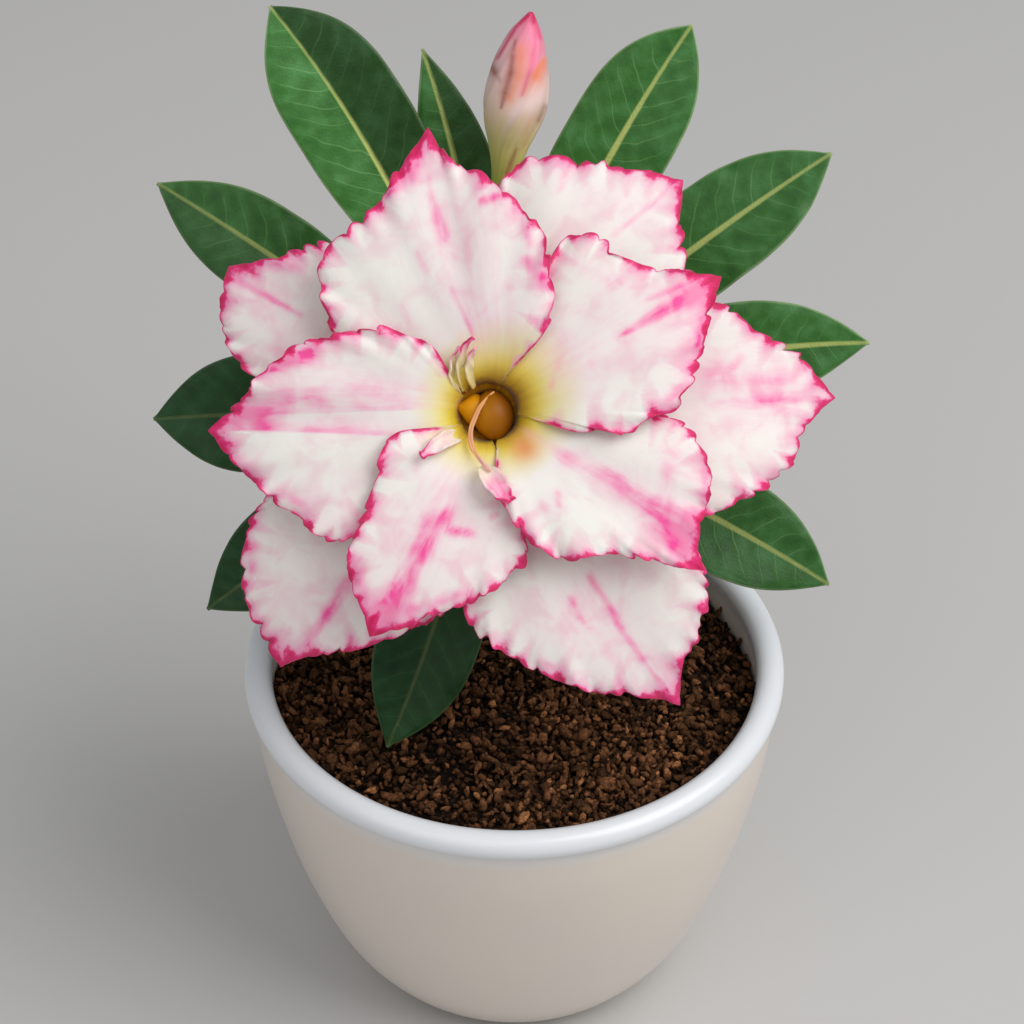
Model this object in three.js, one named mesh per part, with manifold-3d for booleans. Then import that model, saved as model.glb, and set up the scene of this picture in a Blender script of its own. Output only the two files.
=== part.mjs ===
// A potted desert rose: a glazed ceramic pot of soil, a swollen stem, ten leaves, a furled bud and one
// double bloom. Millimetres, +Z up, the front of the pot towards -Y, the origin in the middle of the base.

import * as THREE from 'three';
import { mergeVertices } from 'three/addons/utils/BufferGeometryUtils.js';
import Module from 'manifold-3d';

const wasm = await Module();
wasm.setup();

// ---------------------------------------------------------------- driving dimensions

const GAP = 0.3;                 // between pieces that touch
const AROUND = 54;               // sides of the pot and of the soil

const POT_HEIGHT = 64;
const RIM_RADIUS = 45;           // outside of the rolled rim
const BEAD = 2.3;                // radius of the rolled rim's section
const WALL = 2.8;
const FLOOR = 5;
const FLOOR_RADIUS = 23.5;       // where the inside starts to curve up
const BASE_RADIUS = 22.5;        // flat part that the pot stands on
// The wall outside, [radius, height], from the foot's round edge to just under the rim.
const POT_BELLY = [[25.2, 1], [28.6, 4.4], [33.2, 12], [37.7, 24.5], [41, 37.5], [43.2, 50], [43.8, 59.4]];

const SOIL_BELOW_RIM = 8;
const CRUMB = 0.95;              // height of the crumbs, coarser than the real ones
const CRUMBS_ACROSS = 24;
const CLEAR = GAP + 0.25;        // the soil's rounder edge keeps clear of the pot's flat facets

const FACING = 39;               // degrees that the bloom looks up from the level
const CROWN = [-4, 17, POT_HEIGHT + 37];  // tip of the stem, where leaves, bud and bloom are carried
const KNOB = 4.6;                // radius of the round tip, which every leaf and stalk is seated on
const SEAT = KNOB + GAP + 0.4;   // where leaves start, far enough out for the corners of their slanting ends
const BLOOM_AT = [0, -0.9, 38];  // mouth of the bloom's throat, seen in the crown's own frame

const CAUDEX_AT = [14, 16];      // where the stem leaves the soil
const CAUDEX_RADIUS = 12.2;
const CAUDEX_DEPTH = 12;

const PETAL_THICKNESS = 0.8;
const LEAF_THICKNESS = 0.85;

// ---------------------------------------------------------------- colours and finishes

const finish = (color, roughness) => new THREE.MeshStandardMaterial({ color, roughness, metalness: 0 });
const glaze = finish(0xdcdde0, 0.3);
const earth = finish(0x45301f, 0.95);
const bark = finish(0x8b8270, 0.8);
const leafGreen = finish(0x2f6038, 0.45);
const stalkGreen = finish(0x8f9a58, 0.6);
const petalWhite = finish(0xf3dfe4, 0.55);
const backPetal = finish(0xefd3dc, 0.55);
const budPink = finish(0xe79aa6, 0.5);
const pollen = finish(0xa8720c, 0.6);

// ---------------------------------------------------------------- small helpers

const radians = THREE.MathUtils.degToRad;
const vec = (x, y, z) => new THREE.Vector3(x, y, z);
const smooth = (t) => THREE.MathUtils.smoothstep(t, 0, 1);

// A repeatable number from -1 to 1 for each pair of whole numbers.
function chance(i, j) {
  const wave = Math.sin(i * 127.1 + j * 311.7) * 43758.5453;
  return 2 * (wave - Math.floor(wave)) - 1;
}

function bufferOf(points, triangles) {
  const geometry = new THREE.BufferGeometry();
  const numbers = points.flatMap((p) => [p.x, p.y, p.z]);
  geometry.setAttribute('position', new THREE.Float32BufferAttribute(numbers, 3));
  geometry.setIndex(triangles.flat());
  return geometry;
}

// Six times the signed volume: negative where the faces look inwards.
function signedVolume(points, triangles) {
  const cross = new THREE.Vector3();
  const one = ([a, b, c]) => points[a].dot(cross.crossVectors(points[b], points[c]));
  return triangles.reduce((sum, triangle) => sum + one(triangle), 0);
}

function closedSolid(points, triangles) {
  const outwards = signedVolume(points, triangles) > 0;
  return bufferOf(points, outwards ? triangles : triangles.map(([a, b, c]) => [a, c, b]));
}

function toManifold(geometry) {
  const bare = geometry.clone();
  bare.deleteAttribute('normal');
  bare.deleteAttribute('uv');
  const merged = mergeVertices(bare, 1e-4);
  return new wasm.Manifold(new wasm.Mesh({
    numProp: 3,
    vertProperties: new Float32Array(merged.attributes.position.array),
    triVerts: new Uint32Array(merged.index.array),
  }));
}

function fromManifold(solid) {
  const mesh = solid.getMesh();
  const geometry = new THREE.BufferGeometry();
  geometry.setAttribute('position', new THREE.Float32BufferAttribute(Array.from(mesh.vertProperties), 3));
  geometry.setIndex(Array.from(mesh.triVerts));
  return geometry;
}

const SLIVER = 0.02;             // faces thinner than this, left where pieces cross, are closed up
// Crossing pieces become one body; a tiny hollow sealed between them is filled and a loose scrap dropped.
function joined(geometries) {
  const whole = geometries.map(toManifold).reduce((all, next) => all.add(next)).simplify(SLIVER);
  const larger = (most, part) => (part.volume() > most.volume() ? part : most);
  return fromManifold(whole.decompose().reduce(larger));
}

// A thin sheet from rows of middle points. A row may have as many steps as the one before or twice as
// many. push(row, column) gives the half thickness as a vector, so both faces are split alike.
function sheet(rows, push) {
  const starts = [];
  rows.reduce((sum, row) => (starts.push(sum), sum + row.length), 0);
  const count = rows.flat().length;
  const top = rows.flatMap((row, i) => row.map((p, j) => p.clone().add(push(i, j))));
  const under = rows.flatMap((row, i) => row.map((p, j) => p.clone().sub(push(i, j))));
  const face = [];
  for (let i = 0; i + 1 < rows.length; i += 1) {
    const doubled = rows[i + 1].length > rows[i].length;
    for (let j = 0; j + 1 < rows[i].length; j += 1) {
      const a = starts[i] + j;
      const c = starts[i + 1] + (doubled ? 2 * j : j);
      if (doubled) face.push([a, c, c + 1], [a, c + 1, a + 1], [a + 1, c + 1, c + 2]);
      else face.push([a, c, a + 1], [a + 1, c, c + 1]);
    }
  }
  const edge = rows[0].map((_, j) => starts[0] + j);
  rows.slice(1, -1).forEach((row, i) => edge.push(starts[i + 1] + row.length - 1));
  const last = rows.length - 1;
  rows[last].forEach((_, j) => edge.push(starts[last] + rows[last].length - 1 - j));
  rows.slice(1, -1).reverse().forEach((_, i) => edge.push(starts[last - 1 - i]));
  const walls = edge.flatMap((a, k) => {
    const b = edge[(k + 1) % edge.length];
    return [[a, a + count, b], [b, a + count, b + count]];
  });
  const below = face.map(([a, b, c]) => [a + count, c + count, b + count]);
  const faceWay = walls.map(([a, b, c]) => [a, c, b]);
  // The walls run the same way round as the top face's own edge, turned over.
  const matches = edgeRunsWith(face, edge);
  return closedSolid([...top, ...under], [...face, ...below, ...(matches ? walls : faceWay)]);
}

// True where some triangle holds the edge's first step in the same direction.
function edgeRunsWith(face, edge) {
  return face.some((t) => t.some((a, k) => a === edge[0] && t[(k + 1) % 3] === edge[1]));
}

// A solid swept along a curve. radius(u, angle) may differ round the section; the ends are flat caps.
function swept(curve, radius, rings, sides) {
  const frames = curve.computeFrenetFrames(rings, false);
  const points = [];
  for (let i = 0; i <= rings; i += 1) {
    const middle = curve.getPointAt(i / rings);
    for (let j = 0; j < sides; j += 1) {
      const angle = (2 * Math.PI * j) / sides;
      const r = radius(i / rings, angle);
      points.push(middle.clone()
        .addScaledVector(frames.normals[i], r * Math.cos(angle))
        .addScaledVector(frames.binormals[i], r * Math.sin(angle)));
    }
  }
  const triangles = [];
  for (let i = 0; i < rings; i += 1) {
    for (let j = 0; j < sides; j += 1) {
      const a = i * sides + j;
      const b = i * sides + ((j + 1) % sides);
      triangles.push([a, b, a + sides], [b, b + sides, a + sides]);
    }
  }
  const start = points.push(curve.getPointAt(0)) - 1;
  const end = points.push(curve.getPointAt(1)) - 1;
  for (let j = 0; j < sides; j += 1) {
    const next = (j + 1) % sides;
    triangles.push([start, next, j], [end, rings * sides + j, rings * sides + next]);
  }
  return closedSolid(points, triangles);
}

// A solid of revolution about +Z from [radius, height] points that start and end on the axis.
function turned(profile, sides) {
  const section = profile.map(([r, z]) => new THREE.Vector2(r, z));
  return new THREE.LatheGeometry(section, sides).rotateX(Math.PI / 2);
}

// A curved blade along a spine: a leaf, a sepal or a small tongue. Its rows draw together towards the tip.
function blade({ spine, face, halfWidth, thickness, fold = 0, roll = 0, wave = 0, along = 11, across = 4 }) {
  const rows = [];
  const normals = [];
  const shares = Array.from({ length: along + 1 }, (_, i) => 1 - (1 - i / along) ** 1.4);
  for (const u of shares) {
    const middle = spine.getPoint(u);
    const tangent = spine.getTangent(u);
    const side = vec().crossVectors(tangent, face).normalize();
    const normal = vec().crossVectors(side, tangent).normalize();
    side.applyAxisAngle(tangent, radians(roll));
    normal.applyAxisAngle(tangent, radians(roll));
    const half = halfWidth(u);
    rows.push(Array.from({ length: across + 1 }, (_, j) => {
      const v = (2 * j) / across - 1;
      const ripple = wave * Math.sin(9 * u + 2 * Math.sign(v)) * Math.abs(v) ** 3 * Math.min(1, half / 4);
      return middle.clone()
        .addScaledVector(side, v * half)
        .addScaledVector(normal, Math.abs(v) * half * Math.tan(radians(fold)) + ripple);
    }));
    normals.push(normal);
  }
  return sheet(rows, (i) => normals[i].clone().multiplyScalar(thickness(shares[i]) / 2));
}

// ---------------------------------------------------------------- pot and soil

const bellyCurve = new THREE.SplineCurve(POT_BELLY.map(([r, z]) => new THREE.Vector2(r, z)));
const belly = bellyCurve.getPoints(8).map((p) => [p.x, p.y]);

// The wall's inside, [radius, height], from the rim down to the floor.
function insideWall() {
  const wall = belly.filter(([, z]) => z > 2 * FLOOR).map(([r, z]) => [r - WALL, z]).reverse();
  return [...wall, [FLOOR_RADIUS + 3, FLOOR + 2.2], [FLOOR_RADIUS, FLOOR]];
}

function insideRadiusAt(height) {
  const wall = insideWall();
  const k = wall.findIndex(([, z]) => z <= height);
  const [[r1, z1], [r0, z0]] = [wall[k - 1], wall[k]];
  return r0 + ((r1 - r0) * (height - z0)) / (z1 - z0);
}

function potGeometry() {
  const middle = [RIM_RADIUS - BEAD, POT_HEIGHT - BEAD];
  const bead = [-55, -10, 30, 65, 100, 140, 180].map((deg) => [
    middle[0] + BEAD * Math.cos(radians(deg)),
    middle[1] + BEAD * Math.sin(radians(deg)),
  ]);
  return turned([[0, 0], [BASE_RADIUS, 0], ...belly, ...bead, ...insideWall(), [0, FLOOR]], AROUND);
}

// The filled shape has no pole: a square grid of crumbs is pressed out to the round of the pot.
function soilGeometry() {
  const top = POT_HEIGHT - SOIL_BELOW_RIM;
  const brim = insideRadiusAt(top) - CLEAR;
  const below = insideWall().filter(([, z]) => z < top - 4);
  const levels = below.map(([r, z]) => [r - CLEAR, Math.max(z, FLOOR + GAP)]);
  const at = (i, j) => i * (CRUMBS_ACROSS + 1) + j;
  const points = [];
  for (let i = 0; i <= CRUMBS_ACROSS; i += 1) {
    for (let j = 0; j <= CRUMBS_ACROSS; j += 1) {
      const edge = i % CRUMBS_ACROSS === 0 || j % CRUMBS_ACROSS === 0;
      const stray = edge ? 0 : 0.6 / CRUMBS_ACROSS;
      const u = (2 * i) / CRUMBS_ACROSS - 1 + stray * chance(i, j);
      const v = (2 * j) / CRUMBS_ACROSS - 1 + stray * chance(j, i + 50);
      const x = brim * u * Math.sqrt(1 - (v * v) / 2);
      const y = brim * v * Math.sqrt(1 - (u * u) / 2);
      points.push(vec(x, y, top + (edge ? -0.5 : CRUMB * chance(i + 7, j + 3) + 0.4 * Math.sin(x / 9))));
    }
  }
  const triangles = [];
  for (let i = 0; i < CRUMBS_ACROSS; i += 1) {
    for (let j = 0; j < CRUMBS_ACROSS; j += 1) {
      triangles.push([at(i, j), at(i + 1, j), at(i + 1, j + 1)], [at(i, j), at(i + 1, j + 1), at(i, j + 1)]);
    }
  }
  const n = CRUMBS_ACROSS;
  const steps = Array.from({ length: n }, (_, k) => k);
  let loop = [...steps.map((k) => at(k, 0)), ...steps.map((k) => at(n, k)),
    ...steps.map((k) => at(n - k, n)), ...steps.map((k) => at(0, n - k))];
  levels.forEach(([r, z]) => {
    const next = loop.map((k) => points.push(points[k].clone().setZ(0).setLength(r).setZ(z)) - 1);
    loop.forEach((a, k) => {
      const b = (k + 1) % loop.length;
      triangles.push([a, next[k], loop[b]], [loop[b], next[k], next[b]]);
    });
    loop = next;
  });
  const under = points.push(vec(0, 0, FLOOR + GAP)) - 1;
  loop.forEach((a, k) => triangles.push([a, under, loop[(k + 1) % loop.length]]));
  const [x, y] = CAUDEX_AT;
  const holeRadius = CAUDEX_RADIUS + 2 * GAP;
  const depth = CAUDEX_DEPTH + 10;
  const hole = new THREE.CylinderGeometry(holeRadius, holeRadius, depth, 24).rotateX(Math.PI / 2);
  hole.translate(x, y, top - CAUDEX_DEPTH - GAP + depth / 2);
  return fromManifold(toManifold(closedSolid(points, triangles)).subtract(toManifold(hole)));
}

// ---------------------------------------------------------------- caudex and stem

function stemGeometry() {
  const [x, y] = CAUDEX_AT;
  const soil = POT_HEIGHT - SOIL_BELOW_RIM;
  const crown = vec(...CROWN);
  const curve = new THREE.CatmullRomCurve3([
    vec(x, y, soil - CAUDEX_DEPTH),
    vec(x, y, soil),
    vec(x - 1, y, soil + 9),
    vec(x - 6, y - 0.5, soil + 21),
    vec(crown.x + 3, crown.y - 1, crown.z - 13),
    vec(crown.x + 0.3, crown.y - 0.3, crown.z - 5),
    vec(crown.x, crown.y, crown.z + 4),
  ]);
  // [share of the length, radius]: root, soil line, swelling, neck, stem, and the end inside the round tip.
  const shape = [[0, 7.5], [0.1, 11], [0.2, 12], [0.3, 12.2], [0.4, 9.6], [0.5, 6.6], [0.62, 4.9],
    [0.78, 4.1], [0.9, KNOB - 0.3], [0.95, KNOB - 0.5], [1, 1.2]];
  const radiusAt = (u) => {
    const next = Math.max(1, shape.findIndex(([at]) => at >= u));
    const [u0, r0] = shape[next - 1];
    const [u1, r1] = shape[next];
    return r0 + (r1 - r0) * smooth((u - u0) / (u1 - u0));
  };
  const wander = (u, angle) => Math.sin(3 * angle + 5 * u) * Math.cos(2 * angle - 9 * u);
  const lumps = (u, angle) => 1 - 0.05 * (1 - u) * (1 + wander(u, angle));
  const stem = swept(curve, (u, angle) => radiusAt(u) * lumps(u, angle), 22, 16);
  return joined([stem, new THREE.SphereGeometry(KNOB, 12, 8).translate(...CROWN)]);
}

// ---------------------------------------------------------------- leaves
// Everything that the stem's tip carries is laid out in a frame of its own at the crown: x to the right,
// y up along the bloom's face and z out of it. angle is anticlockwise from x and lift is towards z.

const LEAVES = [
  { angle: 118.5, reach: 74.4, lift: 14, width: 18.8, widest: 0.64, blunt: 1.9, bow: 10, root: -0.6 },
  { angle: 100.5, reach: 59.8, lift: 11, width: 12.6, widest: 0.5, blunt: 1.25, bow: 7, root: -2.9 },
  { angle: 62.2, reach: 70.6, lift: 13, width: 17.4, widest: 0.58, blunt: 2.1, bow: -6, root: -0.6 },
  { angle: 37, reach: 69.3, lift: 7, width: 17.2, widest: 0.56, blunt: 1.7, bow: -3.5, roll: 8, root: 1.2 },
  { angle: 10.5, reach: 62.8, lift: 2, width: 16.6, widest: 0.56, blunt: 1.45, bow: -7.5, roll: -8, root: -1 },
  { angle: -26.8, reach: 62, lift: 0, width: 17, widest: 0.56, blunt: 1.6, bow: -4, root: 0.6 },
  { angle: -107.1, reach: 57, lift: 0, width: 16.5, widest: 0.62, blunt: 1.3, bow: -5, root: 3.6 },
  { angle: -145.3, reach: 56.3, lift: -2, width: 16.8, widest: 0.6, blunt: 1.3, bow: 1.5, root: 0.8 },
  { angle: -178.9, reach: 54.6, lift: 3, width: 19.4, widest: 0.6, blunt: 1.45, bow: 2, root: -1 },
  { angle: 145.5, reach: 65.2, lift: 7, width: 15.5, widest: 0.6, blunt: 1.45, bow: 2.5, root: 1.2 },
];
const LEAF_FOLD = 9;             // degrees that each half rises from the midrib
const LEAF_ARCH = 2.6;           // the middle of a leaf stands this high over a straight line
const PETIOLE = 0.95;            // half its width

const direction = (angle, lift) => vec(
  Math.cos(radians(angle)) * Math.cos(radians(lift)),
  Math.sin(radians(angle)) * Math.cos(radians(lift)),
  Math.sin(radians(lift)),
);

function leafSpine({ angle, reach, lift, bow, root }) {
  const way = direction(angle, lift);
  const base = direction(angle - bow, 0).multiplyScalar(Math.sqrt(SEAT ** 2 - root ** 2)).setZ(root);
  const tip = way.clone().multiplyScalar(reach);
  const middle = base.clone().lerp(tip, 0.55)
    .addScaledVector(direction(angle - 90, 0), bow * 0.6)
    .add(vec(0, 0, LEAF_ARCH));
  return new THREE.QuadraticBezierCurve3(base, middle, tip);
}

function leafHalfWidth(u, { width, widest, blunt }) {
  const full = width / 2;
  if (u < 0.1) return PETIOLE;
  const rise = (u - 0.1) / (widest - 0.1);
  if (rise < 1) return PETIOLE + (full - PETIOLE) * Math.sin((Math.PI / 2) * rise) ** 1.25;
  return Math.max(0.25, full * Math.cos((Math.PI / 2) * ((u - widest) / (1 - widest)) ** blunt));
}

function leafGeometry(leaf) {
  return blade({
    spine: leafSpine(leaf),
    face: vec(0, 0, 1),
    halfWidth: (u) => leafHalfWidth(u, leaf),
    thickness: (u) => (u < 0.1 ? 1.5 : LEAF_THICKNESS),
    fold: LEAF_FOLD,
    roll: leaf.roll ?? 0,
    wave: 0.5,
  });
}

// ---------------------------------------------------------------- bloom
// In the bloom's frame the mouth of the throat is at 0 and +z looks out of it. A petal's outline is
// [degrees from its aim, distance from the middle] from beside its tip to where it passes under a neighbour.

const INNER = {
  throat: 6.4, offset: 0, cup: 3.4, droop: 7, lap: 2.3, steps: 12, rings: [0, 0.3, 0.58, 0.82, 1],
  petals: [
    { aim: 102, reach: 43.8, left: [[8, 39], [17, 35], [27, 34.5], [36, 34], [44, 30], [51, 26], [46, 16]],
      right: [[-3, 39], [-10, 35.7], [-15, 33.5], [-21, 31], [-29, 28], [-41, 20], [-48, 14.5]] },
    { aim: 30, reach: 40.6,
      left: [[5, 36.7], [12, 32.4], [20, 30.6], [28, 31], [36, 28.4], [38, 22], [40, 14]],
      right: [[-7, 36.5], [-18, 32.2], [-29, 28.6], [-33, 24], [-40, 21.2], [-40, 17], [-44, 13]] },
    { aim: -36.3, reach: 40.7, left: [[4, 37.4], [17, 35.4], [26, 33], [33, 29], [36, 24], [38, 16]],
      right: [[-3, 37], [-8, 31.7], [-16, 27.4], [-25, 25.6], [-34, 21.8], [-41, 16.7], [-48, 11.8]] },
    { aim: -117.7, reach: 38.2, left: [[7, 34.9], [16, 30.7], [25, 28.3], [36, 25], [43, 22.6], [44, 15]],
      right: [[-7, 34.4], [-14, 31.7], [-18, 28.8], [-23, 23.5], [-34, 18.7], [-48, 14.6]] },
    { aim: 184, reach: 42.4,
      left: [[7, 39.2], [15, 36.2], [23, 33.8], [32, 31.6], [38, 29.2], [43, 21], [43, 13]],
      right: [[-6, 37.6], [-13, 34.7], [-21, 31.4], [-33, 24.2], [-42, 20], [-47, 16.4], [-53, 12]] },
  ],
  tube: [[7.2, 0.1], [6.4, -1.4], [5.2, -4.4], [4.1, -9], [3.2, -15], [2.4, -22], [2.2, -28.6]],
};
const OUTER = {
  throat: 9, offset: -6.2, cup: 1.8, droop: 7.5, lap: 2, steps: 10, rings: [0, 0.34, 0.64, 0.86, 1],
  petals: [
    { aim: 50.2, reach: 47,
      left: [[6, 44.8], [14, 42.4], [24, 40.6], [32, 39.2], [38, 34], [42, 25], [40, 15]],
      right: [[-5, 41.9], [-14, 37.4], [-25, 32], [-34, 23], [-36, 14]] },
    { aim: 2.8, reach: 54, left: [[8, 48.8], [14, 43.5], [22, 39.8], [31, 33], [37, 23], [37, 14]],
      right: [[-6, 48.7], [-12, 47.7], [-17, 44.7], [-22, 40.9], [-29, 36], [-37, 26], [-38, 15]] },
    { aim: -56.7, reach: 54.3, left: [[5, 48.7], [9, 47.8], [16, 44.7], [25, 37], [34, 25], [36, 14]],
      right: [[-5, 49.4], [-12, 46.4], [-22, 40.6], [-33, 35.2], [-40, 30.7], [-43, 21], [-40, 13]] },
    { aim: -129.4, reach: 51.1, left: [[2, 47.6], [9, 42.3], [17, 37.1], [27, 31], [35, 22], [36, 14]],
      right: [[-9, 48.4], [-16, 46.2], [-22, 42.6], [-28, 38.2], [-35, 29], [-38, 16]] },
    { aim: 150.5, reach: 46.1, left: [[7, 44.8], [14, 41.9], [20, 37.5], [30, 28], [37, 19], [37, 13]],
      right: [[-7, 40.2], [-18, 35.6], [-29, 30], [-37, 22], [-38, 14]] },
  ],
  tube: [[9.8, -6.1], [8.7, -7.6], [7.2, -11], [5.8, -16.4], [4.5, -22], [3.5, -27], [3.3, -30]],
};
const FRILL = 0.5;               // how far the crimped edge stands out of and above the petal
const ROOT_SPAN = 34;            // degrees that a petal's root covers on each side of its aim
const SWELL = 7;                 // mm over which the throat's slope dies away

const onCircle = (deg, r) => new THREE.Vector2(r * Math.cos(radians(deg)), r * Math.sin(radians(deg)));

// The petal's edge, from its anticlockwise root over the tip to its clockwise root.
function petalEdge(petal, whorl, steps) {
  const side = (outline, root) => new THREE.SplineCurve([
    onCircle(petal.aim, petal.reach),
    ...outline.map(([deg, r]) => onCircle(petal.aim + deg, r)),
    onCircle(petal.aim + root, whorl.throat + 1.5),
  ]).getSpacedPoints(steps);
  return [...side(petal.left, ROOT_SPAN).reverse(), ...side(petal.right, -ROOT_SPAN).slice(1)];
}

function petalHeight(petal, whorl, point) {
  const r = point.length();
  const turn = THREE.MathUtils.radToDeg(point.angle()) - petal.aim;
  const around = THREE.MathUtils.euclideanModulo(turn + 180, 360) - 180;
  const cup = whorl.cup * (1 - Math.exp(-(r - whorl.throat) / SWELL));
  const droop = whorl.droop * (Math.max(0, r - 24) / 25) ** 2;
  const lap = whorl.lap * (around / 45) * smooth((r - whorl.throat) / 9);
  const crease = 0.8 * Math.exp(-((around / 7) ** 2)) * smooth((r - 14) / 16);
  return whorl.offset + cup - droop - lap - crease;
}

function petalGeometry(petal, whorl, seed) {
  const finest = petalEdge(petal, whorl, whorl.steps * 2);
  const rows = whorl.rings.map((share, ring) => {
    const skip = ring === whorl.rings.length - 1 ? 1 : ring === whorl.rings.length - 2 ? 2 : 4;
    return finest.filter((_, k) => k % skip === 0).map((edge, j, all) => {
      const swing = 1 - (2 * j) / (all.length - 1);
      const root = onCircle(petal.aim + swing * ROOT_SPAN, whorl.throat);
      const point = root.clone().lerp(edge, share);
      const ruffled = skip === 1 && j > 1 && j < all.length - 2 && j !== (all.length - 1) / 2;
      const crimp = ruffled ? FRILL * (j % 2 ? 1 : -1) * (1 + 0.5 * chance(seed, j)) : 0;
      const flat = point.clone().addScaledVector(edge.clone().sub(root).normalize(), 0.6 * crimp);
      return vec(flat.x, flat.y, petalHeight(petal, whorl, point) + crimp);
    });
  });
  return sheet(rows, () => vec(0, 0, PETAL_THICKNESS / 2));
}

// A tube closed at its narrow end, flared to the throat, from the middle line of its wall.
function tubeGeometry(middle, wall) {
  const outside = middle.map(([r, z]) => [r + wall / 2, z - wall / 2]);
  const inside = middle.map(([r, z]) => [r - wall / 2, z + wall / 2]);
  const bottom = middle[middle.length - 1][1] - wall / 2;
  return turned([[0, bottom], ...outside.reverse(), ...inside, [0, bottom + wall]], 14);
}

const alongPoints = (points) => new THREE.CatmullRomCurve3(points.map((p) => vec(...p)));

// Small tongues round the throat: [points of the spine], half width, and the way that the blade faces.
const TONGUES = [
  { points: [[-2.6, 5.4, -2.7], [-3.2, 8, 2.6], [-3.4, 11, 4.6]], half: 1.2, face: [0.9, 0.2, 0.6] },
  { points: [[-4.6, 4.2, -2.3], [-5.4, 7, 2.6], [-5.2, 10, 4.6]], half: 1.1, face: [0.9, 0.3, 0.6] },
  { points: [[-4.2, -4, -3], [-6.8, -5.6, 3.6], [-10, -6.6, 4.8]], half: 1.5, face: [0.2, 0.3, 1] },
  { points: [[-1.6, -5.6, -3.1], [-0.8, -8, 3.2], [1, -11, 5.2]], half: 1.7, face: [0.3, 0.2, 1] },
];

function tongueGeometry({ points, half, face }) {
  return blade({
    spine: alongPoints(points),
    face: vec(...face),
    halfWidth: (u) => half * (0.55 + 0.45 * Math.sin(Math.PI * Math.min(1, u * 1.15))),
    thickness: () => 0.7,
    fold: -16,
    along: 5,
    across: 2,
  });
}

const petalsOf = (whorl, seed) => whorl.petals.map((petal, k) => petalGeometry(petal, whorl, seed + k));
const innerCorolla = () => joined([
  tubeGeometry(INNER.tube, 0.8), ...petalsOf(INNER, 10), ...TONGUES.map(tongueGeometry),
]);
const outerCorolla = () => joined([tubeGeometry(OUTER.tube, 0.8), ...petalsOf(OUTER, 20)]);

// Two plump anthers that lean on each other, on one column that stands in the tube.
function anthersGeometry() {
  const lobe = (size, at, tilt) => new THREE.SphereGeometry(1, 12, 8)
    .scale(...size).rotateZ(radians(tilt)).translate(...at);
  const foot = INNER.tube[INNER.tube.length - 1][1] + 0.4 + GAP;
  const column = turned([[0, foot], [0.9, foot], [1.1, -12], [2.2, -5], [0, -4.6]], 12);
  const larger = lobe([2.6, 3.5, 3.6], [0.5, -0.8, -3.2], 12);
  const smaller = lobe([2, 2.6, 2.8], [-2.3, 0, -3.8], 35);
  return joined([column, larger, smaller]);
}

// ---------------------------------------------------------------- calyx, pedicel and bud

// Five sepals round the foot of a tube, and the stalk below them, in one piece along a curve.
function calyxGeometry(stalk, tubeRadius, spread, sepalLength) {
  const end = stalk.getPointAt(1);
  const way = stalk.getTangentAt(1);
  const turn = new THREE.Quaternion().setFromUnitVectors(vec(0, 0, 1), way);
  const taper = (u) => Math.cos((Math.PI / 2) * Math.max(0, (u - 0.25) / 0.75));
  const sepals = [0, 1, 2, 3, 4].map((k) => {
    const out = direction(k * 72 + 20, 0);
    const at = (radius, height) => out.clone().multiplyScalar(radius).setZ(height);
    return blade({
      spine: new THREE.QuadraticBezierCurve3(
        at(tubeRadius - 0.9, -1.6), at(tubeRadius + 1.4, -0.9), at(tubeRadius + spread, sepalLength),
      ),
      face: out,
      halfWidth: (u) => Math.max(0.2, 0.37 * tubeRadius * taper(u)),
      thickness: () => 0.75,
      along: 4,
      across: 2,
    }).applyQuaternion(turn).translate(end.x, end.y, end.z);
  });
  const length = stalk.getLength();
  const pedicelRadius = (u) => 1.25 + (tubeRadius - 1.35) * smooth((u * length - (length - 2.6)) / 1.2);
  const pedicel = swept(stalk, pedicelRadius, 8, 8);
  return joined([pedicel, ...sepals]);
}

const BLOOM_FOOT = BLOOM_AT[2] - 30.4 - GAP;       // where the bloom's tube rests on its pedicel
const bloomStalk = new THREE.LineCurve3(vec(0, BLOOM_AT[1], KNOB + GAP), vec(0, BLOOM_AT[1], BLOOM_FOOT));

// The bud leans out beside the bloom: [x, y, z] of its line from the stem's tip to its point.
const BUD_LINE = [
  [0.8, 4.8, 1.9], [1.2, 14, 4], [2, 26, 9], [3.3, 39, 15], [4.9, 51, 20], [6.6, 61.6, 23.6],
];
const BUD_STARTS = 0.3;          // share of the line that is pedicel
const BUD_LOBES = 5;

const budLine = alongPoints(BUD_LINE);
const budStalk = alongPoints([0, 0.1, 0.2, BUD_STARTS].map((u) => budLine.getPointAt(u).toArray()));
const budBody = alongPoints([0.006, 0.14, 0.28, 0.42, 0.56, 0.7, 0.85, 1]
  .map((u) => budLine.getPointAt(BUD_STARTS + u * (1 - BUD_STARTS)).toArray()));

// [share of the bud's length, radius]: tube, neck, belly of the furled petals, point.
const BUD_SHAPE = [[0, 1.9], [0.2, 2.2], [0.3, 2.3], [0.42, 3.3], [0.55, 4.6], [0.66, 5.2], [0.78, 5],
  [0.88, 3.9], [0.95, 2.2], [1, 0.35]];

function budGeometry() {
  const radiusAt = (u) => {
    const next = Math.max(1, BUD_SHAPE.findIndex(([at]) => at >= u - 1e-9));
    const [u0, r0] = BUD_SHAPE[next - 1];
    const [u1, r1] = BUD_SHAPE[next];
    return r0 + (r1 - r0) * ((u - u0) / (u1 - u0));
  };
  // Each furled petal starts proud and dives under the next one, and the seams wind round the bud.
  const furl = (u, angle) => {
    const share = THREE.MathUtils.euclideanModulo((angle / (2 * Math.PI)) * BUD_LOBES + 1.8 * u, 1);
    return 1 - 0.17 * share * smooth((u - 0.25) / 0.2);
  };
  return swept(budBody, (u, angle) => radiusAt(u) * furl(u, angle), 13, 20);
}

// ---------------------------------------------------------------- assembly

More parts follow.
